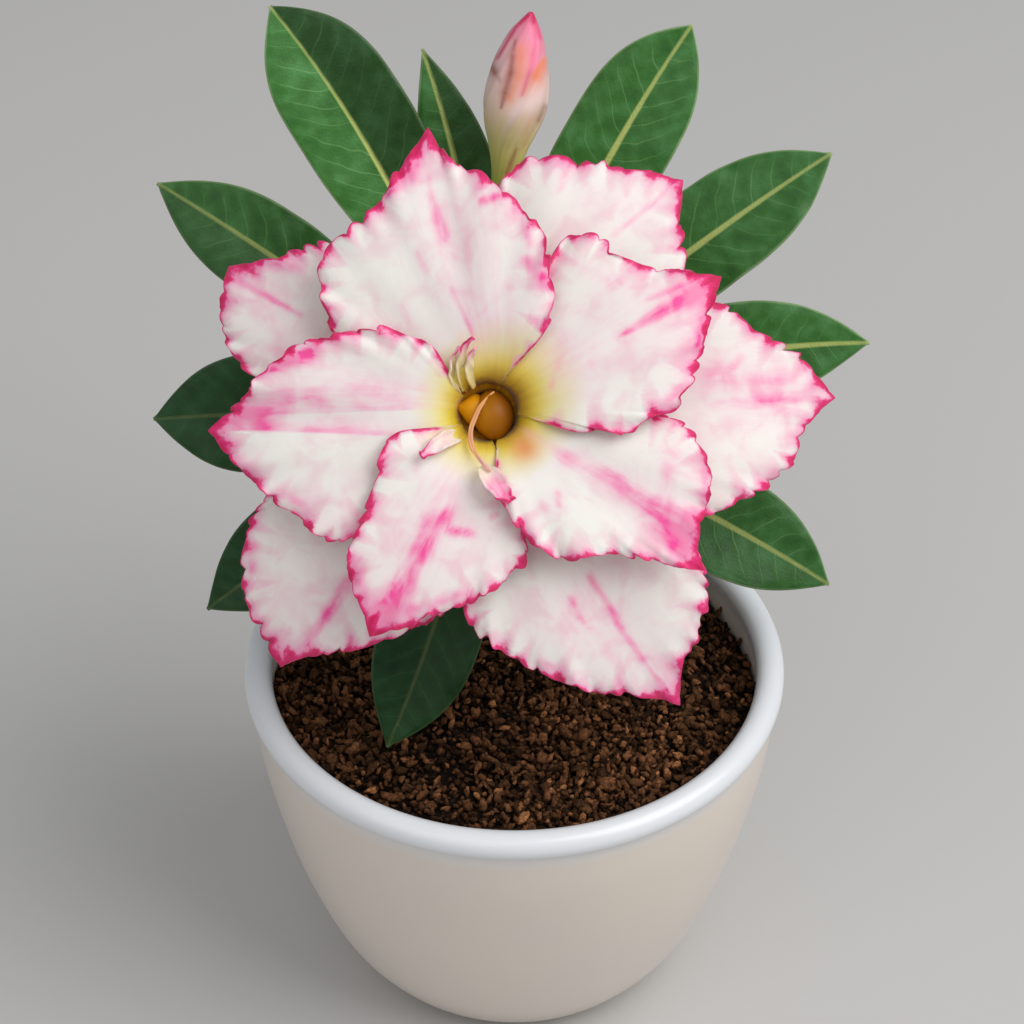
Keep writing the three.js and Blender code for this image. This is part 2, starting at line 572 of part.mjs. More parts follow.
function piece(name, geometry, material) {
  const mesh = new THREE.Mesh(geometry, material);
  mesh.name = name;
  return mesh;
}

const plant = new THREE.Group();
plant.add(piece('pot', potGeometry(), glaze));
plant.add(piece('soil', soilGeometry(), earth));
plant.add(piece('caudex', stemGeometry(), bark));

const crown = new THREE.Group();
crown.position.set(...CROWN);
crown.rotation.x = radians(90 - FACING);
plant.add(crown);

LEAVES.forEach((leaf, k) => {
  crown.add(piece(`leaf_${String(k + 1).padStart(2, '0')}`, leafGeometry(leaf), leafGreen));
});
crown.add(piece('bloom_calyx', calyxGeometry(bloomStalk, 3.7, 2.2, 7), stalkGreen));
crown.add(piece('bud', budGeometry(), budPink));
crown.add(piece('bud_calyx', calyxGeometry(budStalk, 2, 1.2, 5), stalkGreen));

const bloom = new THREE.Group();
bloom.position.set(...BLOOM_AT);
bloom.add(piece('corolla_outer', outerCorolla(), backPetal));
bloom.add(piece('corolla_inner', innerCorolla(), petalWhite));
bloom.add(piece('anthers', anthersGeometry(), pollen));
crown.add(bloom);

export default plant;
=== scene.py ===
"""A potted desert rose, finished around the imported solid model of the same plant.

Lengths in the functions are millimetres, as on the plant's own drawing, and every mesh is made in metres.
The row's frame is used throughout: +Z up, the front towards -Y, the origin in the middle of the pot's base.
"""

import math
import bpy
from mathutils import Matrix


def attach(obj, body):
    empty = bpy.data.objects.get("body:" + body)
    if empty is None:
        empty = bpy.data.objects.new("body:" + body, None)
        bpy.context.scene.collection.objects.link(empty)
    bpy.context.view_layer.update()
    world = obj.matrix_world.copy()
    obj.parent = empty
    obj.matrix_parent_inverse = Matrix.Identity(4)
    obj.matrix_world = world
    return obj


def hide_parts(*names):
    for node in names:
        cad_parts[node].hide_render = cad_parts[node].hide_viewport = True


bl_info = {
    "name": "Potted desert rose",
    "version": (1, 0, 0),
    "blender": (4, 5, 0),
    "location": "3D View > Sidebar > Desert Rose",
    "description": "Builds a potted desert rose with a double bloom, a furled bud and ten leaves",
    "category": "Object",
}

import bmesh
import bpy
import numpy as np
from bpy.props import FloatProperty, FloatVectorProperty, IntProperty, PointerProperty

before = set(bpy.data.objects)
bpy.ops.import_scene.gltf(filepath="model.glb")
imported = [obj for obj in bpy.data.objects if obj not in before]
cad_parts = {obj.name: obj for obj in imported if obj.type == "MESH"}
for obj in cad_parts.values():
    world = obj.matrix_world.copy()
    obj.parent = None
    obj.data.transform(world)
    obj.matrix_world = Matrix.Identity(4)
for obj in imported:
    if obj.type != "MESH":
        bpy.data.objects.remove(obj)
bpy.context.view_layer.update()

MM = 0.001


def linear(code):
    """A linear RGBA colour from an sRGB hex value."""
    parts = [int(code[k:k + 2], 16) / 255 for k in (1, 3, 5)]
    return tuple(c / 12.92 if c <= 0.04045 else ((c + 0.055) / 1.055) ** 2.4 for c in parts) + (1.0,)


# ---------------------------------------------------------------- the plant's measures, in millimetres

POT_HEIGHT = 64
RIM_RADIUS = 45
BEAD = 2.3                       # radius of the rolled rim's section
WALL = 2.8
FLOOR = 5
FLOOR_RADIUS = 23.5
BASE_RADIUS = 22.5
# The wall outside, (radius, height), from the foot's round edge to just under the rim.
POT_BELLY = [(25.2, 1), (28.6, 4.4), (33.2, 12), (37.7, 24.5), (41, 37.5), (43.2, 50), (43.8, 59.4)]

SOIL_TOP = POT_HEIGHT - 8
GAP = 0.3                        # between neighbours, as in the solid model

FACING = 39                      # degrees that the bloom looks up from the level
CROWN = np.array([-4.0, 17.0, POT_HEIGHT + 37.0])
KNOB = 4.6                       # radius of the stem's round tip
SEAT = KNOB - 0.7                # where leaves start, inside the bark of that tip
BLOOM_AT = np.array([0, -0.9, 38])

CAUDEX_AT = np.array([14.0, 16.0])
CAUDEX_RADIUS = 12.2
CAUDEX_DEPTH = 12

PETIOLE = 0.95                   # half the width of a leaf's stalk
LEAF_FOLD = 9                    # degrees that each half rises from the midrib
LEAF_ARCH = 2.6
VEIN_SPACING = 4.2               # between side veins, along the midrib
VEIN_STAGGER = 1.9               # how far the right half's veins are out of step with the left's
VEIN_SLANT = 0.62                # mm that a side vein runs forward for each mm out at the midrib
VEIN_BEND = 0.055                # and how much more for each further mm
# Leaves in the crown's own frame: degrees anticlockwise from x, length, degrees towards the front, width,
# share of the length where it is widest, bluntness, sideways bow, roll, how far forward the root sits, and
# how light the left and right halves are, as painted light and shade: leaves in the bloom's shade are
# darkest.
LEAVES = [
    dict(angle=118.5, reach=74.4, lift=14, width=18.8, widest=0.64, blunt=1.9, bow=10, roll=0, root=-0.6,
         tone=(1.35, 0.5)),
    dict(angle=100.5, reach=59.8, lift=11, width=12.6, widest=0.5, blunt=1.25, bow=7, roll=0, root=-2.9,
         tone=(1.1, 0.6)),
    dict(angle=62.2, reach=70.6, lift=13, width=17.4, widest=0.58, blunt=2.1, bow=-6, roll=0, root=-0.6,
         tone=(1.12, 1.15)),
    dict(angle=37, reach=69.3, lift=7, width=17.2, widest=0.56, blunt=1.7, bow=-3.5, roll=8, root=1.2,
         tone=(0.98, 0.94)),
    dict(angle=10.5, reach=62.8, lift=2, width=16.6, widest=0.56, blunt=1.45, bow=-7.5, roll=-8, root=-1,
         tone=(1.1, 1.05)),
    dict(angle=-26.8, reach=62, lift=0, width=17, widest=0.56, blunt=1.6, bow=-4, roll=0, root=0.6,
         tone=(0.85, 0.8)),
    dict(angle=-107.1, reach=57, lift=0, width=16.5, widest=0.62, blunt=1.3, bow=-5, roll=0, root=3.6,
         tone=(0.42, 0.36)),
    dict(angle=-145.3, reach=56.3, lift=-2, width=16.8, widest=0.6, blunt=1.3, bow=1.5, roll=0, root=0.8,
         tone=(0.42, 0.36)),
    dict(angle=-178.9, reach=54.6, lift=3, width=19.4, widest=0.6, blunt=1.45, bow=2, roll=0, root=-1,
         tone=(0.4, 0.36)),
    dict(angle=145.5, reach=65.2, lift=7, width=15.5, widest=0.6, blunt=1.45, bow=2.5, roll=0, root=1.2,
         tone=(0.62, 0.8)),
]

# Petals in the bloom's frame. An outline is (degrees from the aim, distance from the middle), from beside
# the tip to where it passes under a neighbour. A streak of pink runs between two points, (x, y) in
# millimetres from the bloom's middle, with its half width at each end and its strength. A last 1 or -1 keeps
# only the side of it that lies to the left or the right of the way it runs, where a fold cuts it off.
# A petal's tip is the share of the usual crimson at its point.
# A whorl's throat and mouth are the radii where its petals root and where they open, and offset is its
# height. Cup, droop and lap are how far the petals rise, fall at their tips and lie over each other. Tube is
# the wall as (radius, height), lining its inside where that stands off, and inside the colour in there, from
# 0, as dark as the throat's edge, to 1: the inner whorl's dark lining is painted shade deep in the tube.
INNER = dict(
    throat=4.5, mouth=5.6, offset=0, cup=3.4, droop=7, lap=1.9, inside=0.02,
    petals=[
        dict(aim=102, reach=43.8,
             left=[(8, 39), (17, 35), (27, 34.5), (36, 34), (44, 30), (51, 26), (46, 16)],
             right=[(-3, 39), (-10, 35.7), (-15, 33.5), (-21, 31), (-29, 28), (-41, 20), (-48, 14.5)],
             streaks=[(-9.6, 43, -12.8, 36, 1.3, 1.7, 1.5), (-12.8, 36, -19, 29.8, 1.6, 0.9, 1.4),
                      (-8.6, 32.4, -6.6, 25.6, 0.8, 1.2, 0.65), (-9.2, 41, -8.6, 32, 1, 0.5, 0.45),
                      (-10.5, 23.4, -9.4, 21, 0.6, 0.6, 0.4), (-12.9, 15.4, -11.8, 13.2, 0.9, 0.6, 0.4),
                      (-5.4, 18, -2.3, 11.6, 0.5, 0.4, 0.5), (-0.8, 31.2, 3, 32.3, 0.7, 0.5, 0.9),
                      (5.6, 22.4, 8.6, 19.4, 0.8, 1.4, 0.8), (4.2, 30, 6.4, 25, 0.6, 1, 0.5),
                      (-5, 29, 1, 14, 6, 5, 0.3), (12, 26, 6, 14, 4, 3, 0.2)]),
        dict(aim=30, reach=40.6,
             left=[(5, 36.7), (12, 32.4), (20, 30.6), (28, 31), (36, 28.4), (38, 22), (40, 14)],
             right=[(-7, 36.5), (-18, 32.2), (-29, 28.6), (-33, 24), (-40, 21.2), (-40, 17), (-44, 13)],
             streaks=[(34.9, 20.2, 32.4, 8, 1.4, 1.2, 1.8), (35, 20, 20.4, 11.4, 2, 0.5, 0.9),
                      (34, 21, 24, 16.6, 1.2, 0.5, 0.6), (32.6, 8, 24, -2.6, 1.2, 0.8, 0.7),
                      (11, 7, 9.4, 3.4, 0.8, 0.5, 0.4), (15.8, 11.4, 15.4, 7, 0.6, 0.6, 0.3),
                      (13, 22, 20, 18.6, 1, 1.6, 0.4),
                      (26, 14, 12, 8, 7, 5, 0.28), (33, 19, 30, 2, 4, 3, 0.4)]),
        dict(aim=-36.3, reach=40.7,
             left=[(4, 37.4), (17, 35.4), (26, 33), (33, 29), (36, 24), (38, 16)],
             right=[(-3, 37), (-8, 31.7), (-16, 27.4), (-25, 25.6), (-34, 21.8), (-41, 16.7), (-48, 11.8)],
             streaks=[(34, -24.4, 29, -18, 2.8, 3.2, 0.95), (29, -18, 19.4, -11, 2, 1.6, 0.55),
                      (19.4, -11, 11.6, -7, 1.5, 1.1, 0.5), (11.6, -7, 6, -3.2, 0.9, 0.5, 0.35),
                      (33, -8, 32.4, -18, 1.1, 1.4, 0.6), (31, -22, 24, -22, 1.2, 0.8, 0.6),
                      (8.2, -13.9, 8.8, -14.6, 0.6, 0.7, 0.5), (10.4, -12.6, 10.6, -14.2, 0.6, 0.6, 0.55),
                      (25, -14, 28, -6, 1, 1.4, 0.35),
                      (32, -22, 20, -11, 4.4, 2.2, 0.5), (30, -6, 31, -14, 3, 3, 0.16)]),
        dict(aim=-117.7, reach=38.2,
             left=[(7, 34.9), (16, 30.7), (25, 28.3), (36, 25), (43, 22.6), (44, 15)],
             right=[(-7, 34.4), (-14, 31.7), (-18, 28.8), (-23, 23.5), (-34, 18.7), (-48, 14.6)],
             streaks=[(-17.6, -33.6, -16, -30, 1.8, 2, 1.0), (-16, -31, -6.6, -15.8, 2.2, 1.4, 0.75),
                      (-18.3, -32, -20, -22.6, 1.2, 1.4, 0.9), (-5.9, -18, -2.6, -18.4, 0.8, 0.7, 0.9),
                      (-12, -30, -4, -27.4, 1, 0.7, 0.6), (0.6, -16, 1.2, -15.6, 0.5, 0.5, 0.6),
                      (-10.6, -8, -9.4, -20, 0.8, 1.2, 0.35),
                      (-13, -26, -6, -13, 5, 4, 0.34), (0, -26, 3, -20, 4, 4, 0.2)]),
        dict(aim=184, reach=42.4,
             left=[(7, 39.2), (15, 36.2), (23, 33.8), (32, 31.6), (38, 29.2), (43, 21), (43, 13)],
             right=[(-6, 37.6), (-13, 34.7), (-21, 31.4), (-33, 24.2), (-42, 20), (-47, 16.4), (-53, 12)],
             streaks=[(-42.4, -3, -35, -3, 2.4, 3, 1.0, 1), (-36, -3.1, -15, -3.8, 2.6, 1.8, 0.5, 1),
                      (-39, -2, -27, 1.6, 3, 2.6, 0.45, 1), (-34.6, 5.6, -26.6, 8.4, 0.8, 1.3, 1.2),
                      (-41, -4.4, -36, -10.6, 1.3, 1.7, 0.85), (-24, 2.4, -10, 3.4, 2.4, 1.4, 0.26),
                      (-31, -12, -27, -15, 1, 1, 0.5),
                      (-38, -1, -14, 0, 5, 4.4, 0.4, 1), (-31, 9, -20, 12, 2, 1.6, 0.3),
                      (-26, -14, -22, -16, 4, 3, 0.2)]),
    ],
    tube=[(7.4, -0.2), (6.4, -0.9), (5.6, -1.8), (4.9, -3.1), (4.6, -4.4), (4.2, -6.4), (3.7, -10),
          (3.1, -16), (2.4, -22), (2.2, -28.6)],
    lining=[(7, -0.1), (6.2, -0.7), (5.3, -1.7), (4.7, -2.8), (4, -3.2), (3.4, -3.8), (3.1, -5.2),
            (2.9, -10), (2.6, -16), (2.1, -22), (1.95, -28.1)],
)
OUTER = dict(
    throat=9, mouth=9, offset=-6.2, cup=1.8, droop=7.5, lap=2, inside=0.8,
    petals=[
        dict(aim=50.2, reach=47,
             left=[(6, 44.8), (14, 42.4), (24, 40.6), (32, 39.2), (38, 34), (42, 25), (40, 15)],
             right=[(-5, 41.9), (-14, 37.4), (-25, 32), (-34, 23), (-36, 14)],
             streaks=[(30, 36, 19, 27, 0.6, 0.5, 0.55), (7, 39, 15, 38.6, 1.1, 1.5, 0.8),
                      (12, 37, 11, 34, 1, 0.6, 0.5),
                      (14, 32, 27, 32, 5, 5, 0.18)]),
        dict(aim=2.8, reach=54, tip=0.25,
             left=[(8, 48.8), (14, 43.5), (22, 39.8), (31, 33), (37, 23), (37, 14)],
             right=[(-6, 48.7), (-12, 47.7), (-17, 44.7), (-22, 40.9), (-29, 36), (-37, 26), (-38, 15)],
             streaks=[(53.5, 2.6, 46, 2.4, 1, 1.6, 0.4), (47, 2.2, 35, 1, 1.3, 1.2, 0.6),
                      (47, 5, 34, 5.6, 1.6, 1.8, 0.4), (38.6, 8.4, 37.6, 7, 0.8, 0.8, 0.5),
                      (37, 16.6, 41, 12.6, 1.2, 1, 0.8), (49, -1, 46, -5, 1, 1, 0.5),
                      (44, -9.6, 42, -12, 1.3, 1.2, 0.6),
                      (48, 2.6, 36, 3, 5, 6, 0.36)]),
        dict(aim=-56.7, reach=54.3,
             left=[(5, 48.7), (9, 47.8), (16, 44.7), (25, 37), (34, 25), (36, 14)],
             right=[(-5, 49.4), (-12, 46.4), (-22, 40.6), (-33, 35.2), (-40, 30.7), (-43, 21), (-40, 13)],
             streaks=[(15.6, -25, 20.4, -33, 0.8, 0.8, 0.75), (20.4, -33, 26, -41, 0.8, 0.5, 0.6),
                      (26, -41, 29.6, -45.6, 0.7, 1.2, 0.6), (12.6, -28.4, 12.9, -29, 0.8, 0.8, 0.7),
                      (14, -31.4, 15.6, -33, 0.8, 0.6, 0.45), (8, -38, 16, -43, 0.8, 1, 0.5),
                      (14, -29, 24, -40, 7, 7, 0.28)]),
        dict(aim=-129.4, reach=51.1,
             left=[(2, 47.6), (9, 42.3), (17, 37.1), (27, 31), (35, 22), (36, 14)],
             right=[(-9, 48.4), (-16, 46.2), (-22, 42.6), (-28, 38.2), (-35, 29), (-38, 16)],
             streaks=[(-29, -37, -20, -24, 0.9, 1.2, 0.7), (-35.6, -33, -32.4, -39, 1.8, 1.2, 0.9),
                      (-36.6, -17, -36.4, -24, 1.7, 1, 0.7), (-26, -35, -18, -27, 0.7, 2, 0.25),
                      (-24.6, -38.4, -18, -36, 0.7, 0.7, 0.5),
                      (-32, -31, -22, -26, 5, 5, 0.2)]),
        dict(aim=150.5, reach=46.1,
             left=[(7, 44.8), (14, 41.9), (20, 37.5), (30, 28), (37, 19), (37, 13)],
             right=[(-7, 40.2), (-18, 35.6), (-29, 30), (-37, 22), (-38, 14)],
             streaks=[(-38.4, 20.4, -29, 15, 0.9, 0.5, 0.65), (-37, 23, -29, 22.6, 1.2, 1.3, 0.8),
                      (-40, 19, -40, 14, 1, 0.8, 0.5), (-34, 10, -30, 8.6, 0.8, 0.8, 0.4),
                      (-37, 19, -31, 14, 5, 5, 0.2)]),
    ],
    tube=[(11.6, -7), (10.4, -7.1), (9.6, -7.4), (8.7, -8.4), (7.2, -11.4), (5.8, -16.6), (4.5, -22),
          (3.5, -27), (3.3, -30)],
)
ROOT_SPAN = 37                   # degrees that a petal's root covers on each side of its aim
SWELL = 7                        # mm over which the throat's slope dies away

# Small tongues round the throat: points of the spine, half width, the way that the blade faces, how pink
# its edge is and how salmon its body, how pink the body is (flush) and how far its foot has faded to white.
TONGUES = [
    dict(points=[(-2.1, 3.6, -1.9), (-3, 6, 0.7), (-2.3, 9.7, 3.1)], half=0.75, face=(0.6, 0.1, 0.8),
         edge=0.3, salmon=0.12),
    dict(points=[(-3.7, 3.2, -1.9), (-4.5, 6.3, 1.1), (-3.6, 9.6, 3.4), (-2.3, 11.1, 3.9)], half=0.8,
         face=(0.7, 0.2, 0.7), edge=1.0, salmon=0.1),
    dict(points=[(-4.7, 2.1, -1.9), (-5.7, 5.8, 1.2), (-4.9, 9.7, 3.5)], half=0.8, face=(0.8, 0.3, 0.6),
         edge=0.3, salmon=0.1),
    dict(points=[(-3.9, -3.6, -1.6), (-6.6, -4.6, 2.4), (-10.2, -7.3, 4.8)], half=1.25, face=(0.2, 0.3, 1),
         edge=0.9, salmon=0.0, flush=0.3, fade=0.66),
    dict(points=[(0.9, 2.9, -1.2), (-0.9, 1, 0.2), (-2, -1.2, 0.5), (-2.6, -3.2, 0.9), (-2.3, -5.6, 1.8),
                 (-1, -7.6, 2.9), (0.4, -9.2, 3.6)],
         half=0.3, face=(-0.3, 0.4, 1), edge=0.1, salmon=1.0),
    dict(points=[(-0.8, -8.4, 2.6), (0.8, -10.8, 4.2), (3.2, -14, 4.6)], half=1.75, face=(0.2, 0.4, 1),
         edge=1.6, salmon=0.05, flush=0.5, fade=0.72),
]

BUD_LINE = [(0.8, 4.8, 1.9), (1.2, 14, 4), (1.8, 26, 9), (2.8, 39, 15), (4.55, 51, 20), (6.6, 61.6, 23.6)]
BUD_STARTS = 0.3                 # share of the line that is stalk
BUD_LENGTH = 60                  # of the line, roughly
BUD_LOBES = 5
BUD_TWIST = -2.2                 # lobes that the furl turns through from foot to tip
# (share of the bud's length, radius): tube, neck, belly of the furled petals, point.
BUD_SHAPE = [(0, 1.9), (0.2, 2.1), (0.34, 2.2), (0.42, 2.5), (0.5, 3.3), (0.56, 4.2), (0.62, 4.95),
             (0.68, 5.2), (0.76, 4.8), (0.83, 4.15), (0.915, 2.8), (0.97, 1.3), (1, 0.35)]
# Streaks on the bud, as on the petals but from the crown's middle.
BUD_CRIMSON = [(6.9, 61.6, 7, 60, 0.7, 0.5, 1.0), (6.2, 61.1, 4.2, 59.1, 0.4, 0.3, 1.0),
               (4.2, 59.1, 1.4, 54.6, 0.3, 0.26, 0.9), (7.3, 59.8, 8, 57.4, 0.4, 0.25, 0.5),
               (6.4, 51.9, 5.3, 48.6, 0.36, 0.2, 0.35)]
BUD_PINK = [(7, 60.4, 7.2, 56, 0.9, 1.3, 0.95), (7.2, 56, 6.8, 52.6, 1.3, 0.9, 0.9),
            (6.9, 53, 5.3, 48.6, 0.9, 0.4, 0.9, -1), (5.7, 58.6, 5, 54.4, 0.7, 0.9, 0.5)]
BUD_ORANGE = [(5, 55.4, 4.6, 51.6, 0.9, 1.1, 0.7), (4.6, 51.6, 3.2, 48.2, 1.1, 0.8, 0.7),
              (8.3, 54.2, 6.9, 52, 1.2, 1.6, 0.95, 1), (6.9, 52, 5.6, 49.6, 1.6, 0.8, 0.6, 1),
              (6.6, 45, 5.4, 41.4, 0.6, 0.6, 0.25)]
BUD_BROWN = [(4.15, 57, 3.7, 54.6, 0.2, 0.45, 0.6), (3.7, 54.6, 3.45, 52, 0.45, 0.55, 0.75),
             (3.45, 52, 2.5, 49, 0.55, 0.6, 0.9), (2.5, 49, 1.95, 46.8, 0.6, 0.2, 0.75),
             (0.3, 53.6, 1, 52.2, 0.5, 0.5, 0.85), (1, 52.2, 1.9, 50.6, 0.5, 0.2, 0.45),
             (8.8, 47.3, 7.8, 45.2, 0.5, 0.4, 0.5), (4.3, 40.8, 2.9, 37.4, 0.2, 0.5, 0.7),
             (1.2, 56, 0.6, 54, 0.26, 0.36, 0.6)]
# The pale streaks are partly pale tissue and partly painted highlight, where edges at the right catch the
# light.
BUD_PALE_AND_HIGHLIGHT = [(9.3, 51.8, 8, 48.2, 0.7, 1, 0.9), (8, 48.2, 3.8, 45.9, 1, 1, 0.7),
            (7.3, 50.8, 5.9, 48.6, 0.8, 0.7, 0.6, 1), (3.3, 56.6, 1.9, 52.4, 0.7, 0.9, 0.3),
            (6.4, 59.6, 6.9, 56.4, 0.15, 0.25, 0.5)]
BLOOM_FOOT = BLOOM_AT[2] - 30.4 - GAP

# The two anthers that show: half sizes, place, degrees of tilt and how sharp a beak it has at its left.
ANTHERS = [((3.15, 3.8, 4), (0.8, -0.6, -3), 10, 0.0), ((2.6, 2.4, 2.7), (-2.2, 0.3, -3.1), -8, 0.5)]

# The photograph's view: 500 mm from the rim, 39 degrees down, 19.4 degrees wide.
CAMERA_AT = (-0.37, -373.9, 396.8)
LENS = 105.47
SENSOR = 36
# The stage in metres: the floor's half width, the point that the lights face, each light's size and place.
FLOOR_REACH = 3.0
LIT_POINT = np.array([0, 0, 0.09])
KEY_SIZE = 0.95
KEY_AT = (0.66, -0.28, 0.98)
FILL_SIZE = 0.9
FILL_AT = (-0.36, -0.62, 0.82)


# ---------------------------------------------------------------- small helpers

def smooth(t):
    t = np.clip(t, 0, 1)
    return t * t * (3 - 2 * t)


def unit(v):
    v = np.asarray(v, float)
    return v / np.maximum(np.linalg.norm(v, axis=-1, keepdims=True), 1e-12)


def on_circle(degrees, radius):
    angle = np.radians(degrees)
    return np.stack([radius * np.cos(angle), radius * np.sin(angle)], -1)


def from_crown(points):
    """Points from the crown's tilted frame to the row's frame."""
    tilt = math.radians(90 - FACING)
    turn = np.array([[1, 0, 0], [0, math.cos(tilt), -math.sin(tilt)], [0, math.sin(tilt), math.cos(tilt)]])
    return np.asarray(points, float) @ turn.T + CROWN


def from_bloom(points):
    return from_crown(np.asarray(points, float) + BLOOM_AT)


def waves(run, lengths, seed):
    """A restless line between about -1 and 1: sines of the given wavelengths with random phases."""
    draw = np.random.default_rng(seed)
    total = 0
    for length in lengths:
        total = total + np.sin(2 * np.pi * run / length + draw.uniform(0, 2 * np.pi))
    return total / math.sqrt(len(lengths))


def spaced(knots, count):
    """count + 1 points at equal steps along the smooth curve through the knots."""
    knots = np.asarray(knots, float)
    padded = np.vstack([knots[:1], knots, knots[-1:]])
    t = np.linspace(0, 1, 24, endpoint=False)[:, None]
    spans = []
    for p0, p1, p2, p3 in zip(padded, padded[1:], padded[2:], padded[3:]):
        v0, v1 = (p2 - p0) / 2, (p3 - p1) / 2
        cubic, square = 2 * p1 - 2 * p2 + v0 + v1, 3 * p2 - 3 * p1 - 2 * v0 - v1
        spans.append(cubic * t ** 3 + square * t ** 2 + v0 * t + p1)
    fine = np.vstack(spans + [knots[-1:]])
    run = np.r_[0, np.cumsum(np.linalg.norm(np.diff(fine, axis=0), axis=1))]
    at = np.linspace(0, run[-1], count + 1)
    return np.stack([np.interp(at, run, fine[:, k]) for k in range(fine.shape[1])], 1)


def grid_faces(rows, columns, around=False):
    """Quads between the rows of a grid of points, closed round where asked."""
    across = columns if around else columns - 1
    i, j = np.meshgrid(np.arange(rows - 1), np.arange(across), indexing="ij")
    a = (i * columns + j).ravel()
    b = (i * columns + (j + 1) % columns).ravel()
    return np.stack([a, b, b + columns, a + columns], 1)


def closed_sheet(middle, above, below):
    """A thin closed sheet from a grid of middle points. above and below are its thickness on each side."""
    rows, columns = middle.shape[:2]
    along, across = np.gradient(middle, axis=0), np.gradient(middle, axis=1)
    normal = unit(np.cross(across, along))
    above = np.broadcast_to(above, (rows, columns))[..., None]
    below = np.broadcast_to(below, (rows, columns))[..., None]
    points = np.vstack([(middle + normal * above).reshape(-1, 3),
                        (middle - normal * below).reshape(-1, 3)])
    top = grid_faces(rows, columns)
    count = rows * columns
    at = np.arange(count).reshape(rows, columns)
    edge = np.r_[at[0], at[1:, -1], at[-1, -2::-1], at[-2:0:-1, 0]]
    after = np.roll(edge, -1)
    walls = np.stack([edge + count, after + count, after, edge], 1)
    return points, np.vstack([top, top[:, ::-1] + count, walls])


def turned(profile, sides, pleat=lambda angle, height: 1.0):
    """A solid of revolution about +Z from (radius, height) points that start and end on the axis."""
    profile = np.asarray(profile, float)
    angle = np.linspace(0, 2 * np.pi, sides, endpoint=False)
    ring = profile[1:-1]
    radius = ring[:, 0, None] * pleat(angle[None, :], ring[:, 1, None]) * np.ones(sides)
    points = np.stack([radius * np.cos(angle), radius * np.sin(angle),
                       np.broadcast_to(ring[:, 1, None], radius.shape)], -1).reshape(-1, 3)
    count = len(points)
    ends = np.array([[0, 0, profile[0, 1]], [0, 0, profile[-1, 1]]])
    quads = grid_faces(len(ring), sides, around=True)
    first = np.arange(sides)
    last = first + count - sides
    fans = [(count, (k + 1) % sides, k) for k in first]
    fans += [(count + 1, last[k], last[(k + 1) % sides]) for k in range(sides)]
    return np.vstack([points, ends]), quads.tolist() + fans


def swept(line, radius):
    """A closed solid along a line. radius has a row for each point of it and a column for each side."""
    tangent = unit(np.gradient(line, axis=0))
    normal = unit(np.cross(tangent[0], (1.0, 0.3, 0.2)))
    points = []
    rows, sides = radius.shape
    angle = np.linspace(0, 2 * np.pi, sides, endpoint=False)[:, None]
    for middle, way, r in zip(line, tangent, radius):
        normal = unit(normal - way * np.dot(normal, way))
        side = np.cross(way, normal)
        points.append(middle + r[:, None] * (np.cos(angle) * normal + np.sin(angle) * side))
    points = np.vstack(points + [line[0], line[-1]])
    count = rows * sides
    fans = [(count, (k + 1) % sides, k) for k in range(sides)]
    fans += [(count + 1, count - sides + k, count - sides + (k + 1) % sides) for k in range(sides)]
    return points, grid_faces(rows, sides, around=True).tolist() + fans


def make_piece(name, points, faces, material, stands_for, marks=None):
    """A smooth mesh piece in metres that rides on the plant, with marks (named values) at its points."""
    mesh = bpy.data.meshes.new(name)
    mesh.from_pydata((np.asarray(points) * MM).tolist(), [], [list(map(int, face)) for face in faces])
    for mark, values in (marks or {}).items():
        values = np.asarray(values, np.float32)
        kind, field = ("FLOAT_VECTOR", "vector") if values.ndim == 2 else ("FLOAT", "value")
        mesh.attributes.new(mark, kind, "POINT").data.foreach_set(field, values.ravel())
    mesh.polygons.foreach_set("use_smooth", [True] * len(mesh.polygons))
    mesh.materials.append(material)
    mesh.validate()
    mesh.update()
    piece = bpy.data.objects.new(name, mesh)
    bpy.context.scene.collection.objects.link(piece)
    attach(piece, "root")
    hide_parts(*stands_for)
    return piece


def add(tree, kind, feeds=None, stops=None, **settings):
    """Adds one shader node: settings are its properties, feeds its inputs and stops a colour ramp's.

    A Mix of colours takes its share at input 0, its colours at 6 and 7, and gives its result at output 2.
    """
    node = tree.nodes.new("ShaderNode" + kind)
    for name, value in settings.items():
        setattr(node, name, value)
    for place, (at, colour) in enumerate(stops or ()):
        element = node.color_ramp.elements[place] if place < 2 else node.color_ramp.elements.new(at)
        element.position = at
        element.color = colour
    for socket, value in (feeds or {}).items():
        if isinstance(value, bpy.types.NodeSocket):
            tree.links.new(value, node.inputs[socket])
        else:
            node.inputs[socket].default_value = value
    return node


def blank_material(name):
    material = bpy.data.materials.new(name)
    material.use_nodes = True
    material.node_tree.nodes.clear()
    return material, material.node_tree


# ---------------------------------------------------------------- settings

class PotSettings(bpy.types.PropertyGroup):
    glaze: FloatVectorProperty(
        name="Glaze", description="Colour of the white glaze", subtype="COLOR", size=4, min=0, max=1,
        default=linear("#E6D8C9"))
    sides: IntProperty(name="Sides", description="Steps round the pot", default=160, min=32, max=512)


class SoilSettings(bpy.types.PropertyGroup):
    colour: FloatVectorProperty(
        name="Soil", description="Colour of the damp crumbs", subtype="COLOR", size=4, min=0, max=1,
        default=linear("#402814"))
    crumb: FloatProperty(
        name="Crumb", description="Middle radius of a crumb", subtype="DISTANCE", unit="LENGTH",
        default=0.5 * MM, min=0.3 * MM, max=3 * MM)
    spacing: FloatProperty(
        name="Spacing", description="Distance between crumbs", subtype="DISTANCE", unit="LENGTH",
        default=0.96 * MM, min=0.8 * MM, max=6 * MM)


class StemSettings(bpy.types.PropertyGroup):
    bark: FloatVectorProperty(
        name="Bark", description="Colour of the caudex and stem", subtype="COLOR", size=4, min=0, max=1,
        default=linear("#8B8270"))
    calyx: FloatVectorProperty(
        name="Calyx", description="Colour of the sepals and stalks", subtype="COLOR", size=4, min=0, max=1,
        default=linear("#8F9A58"))


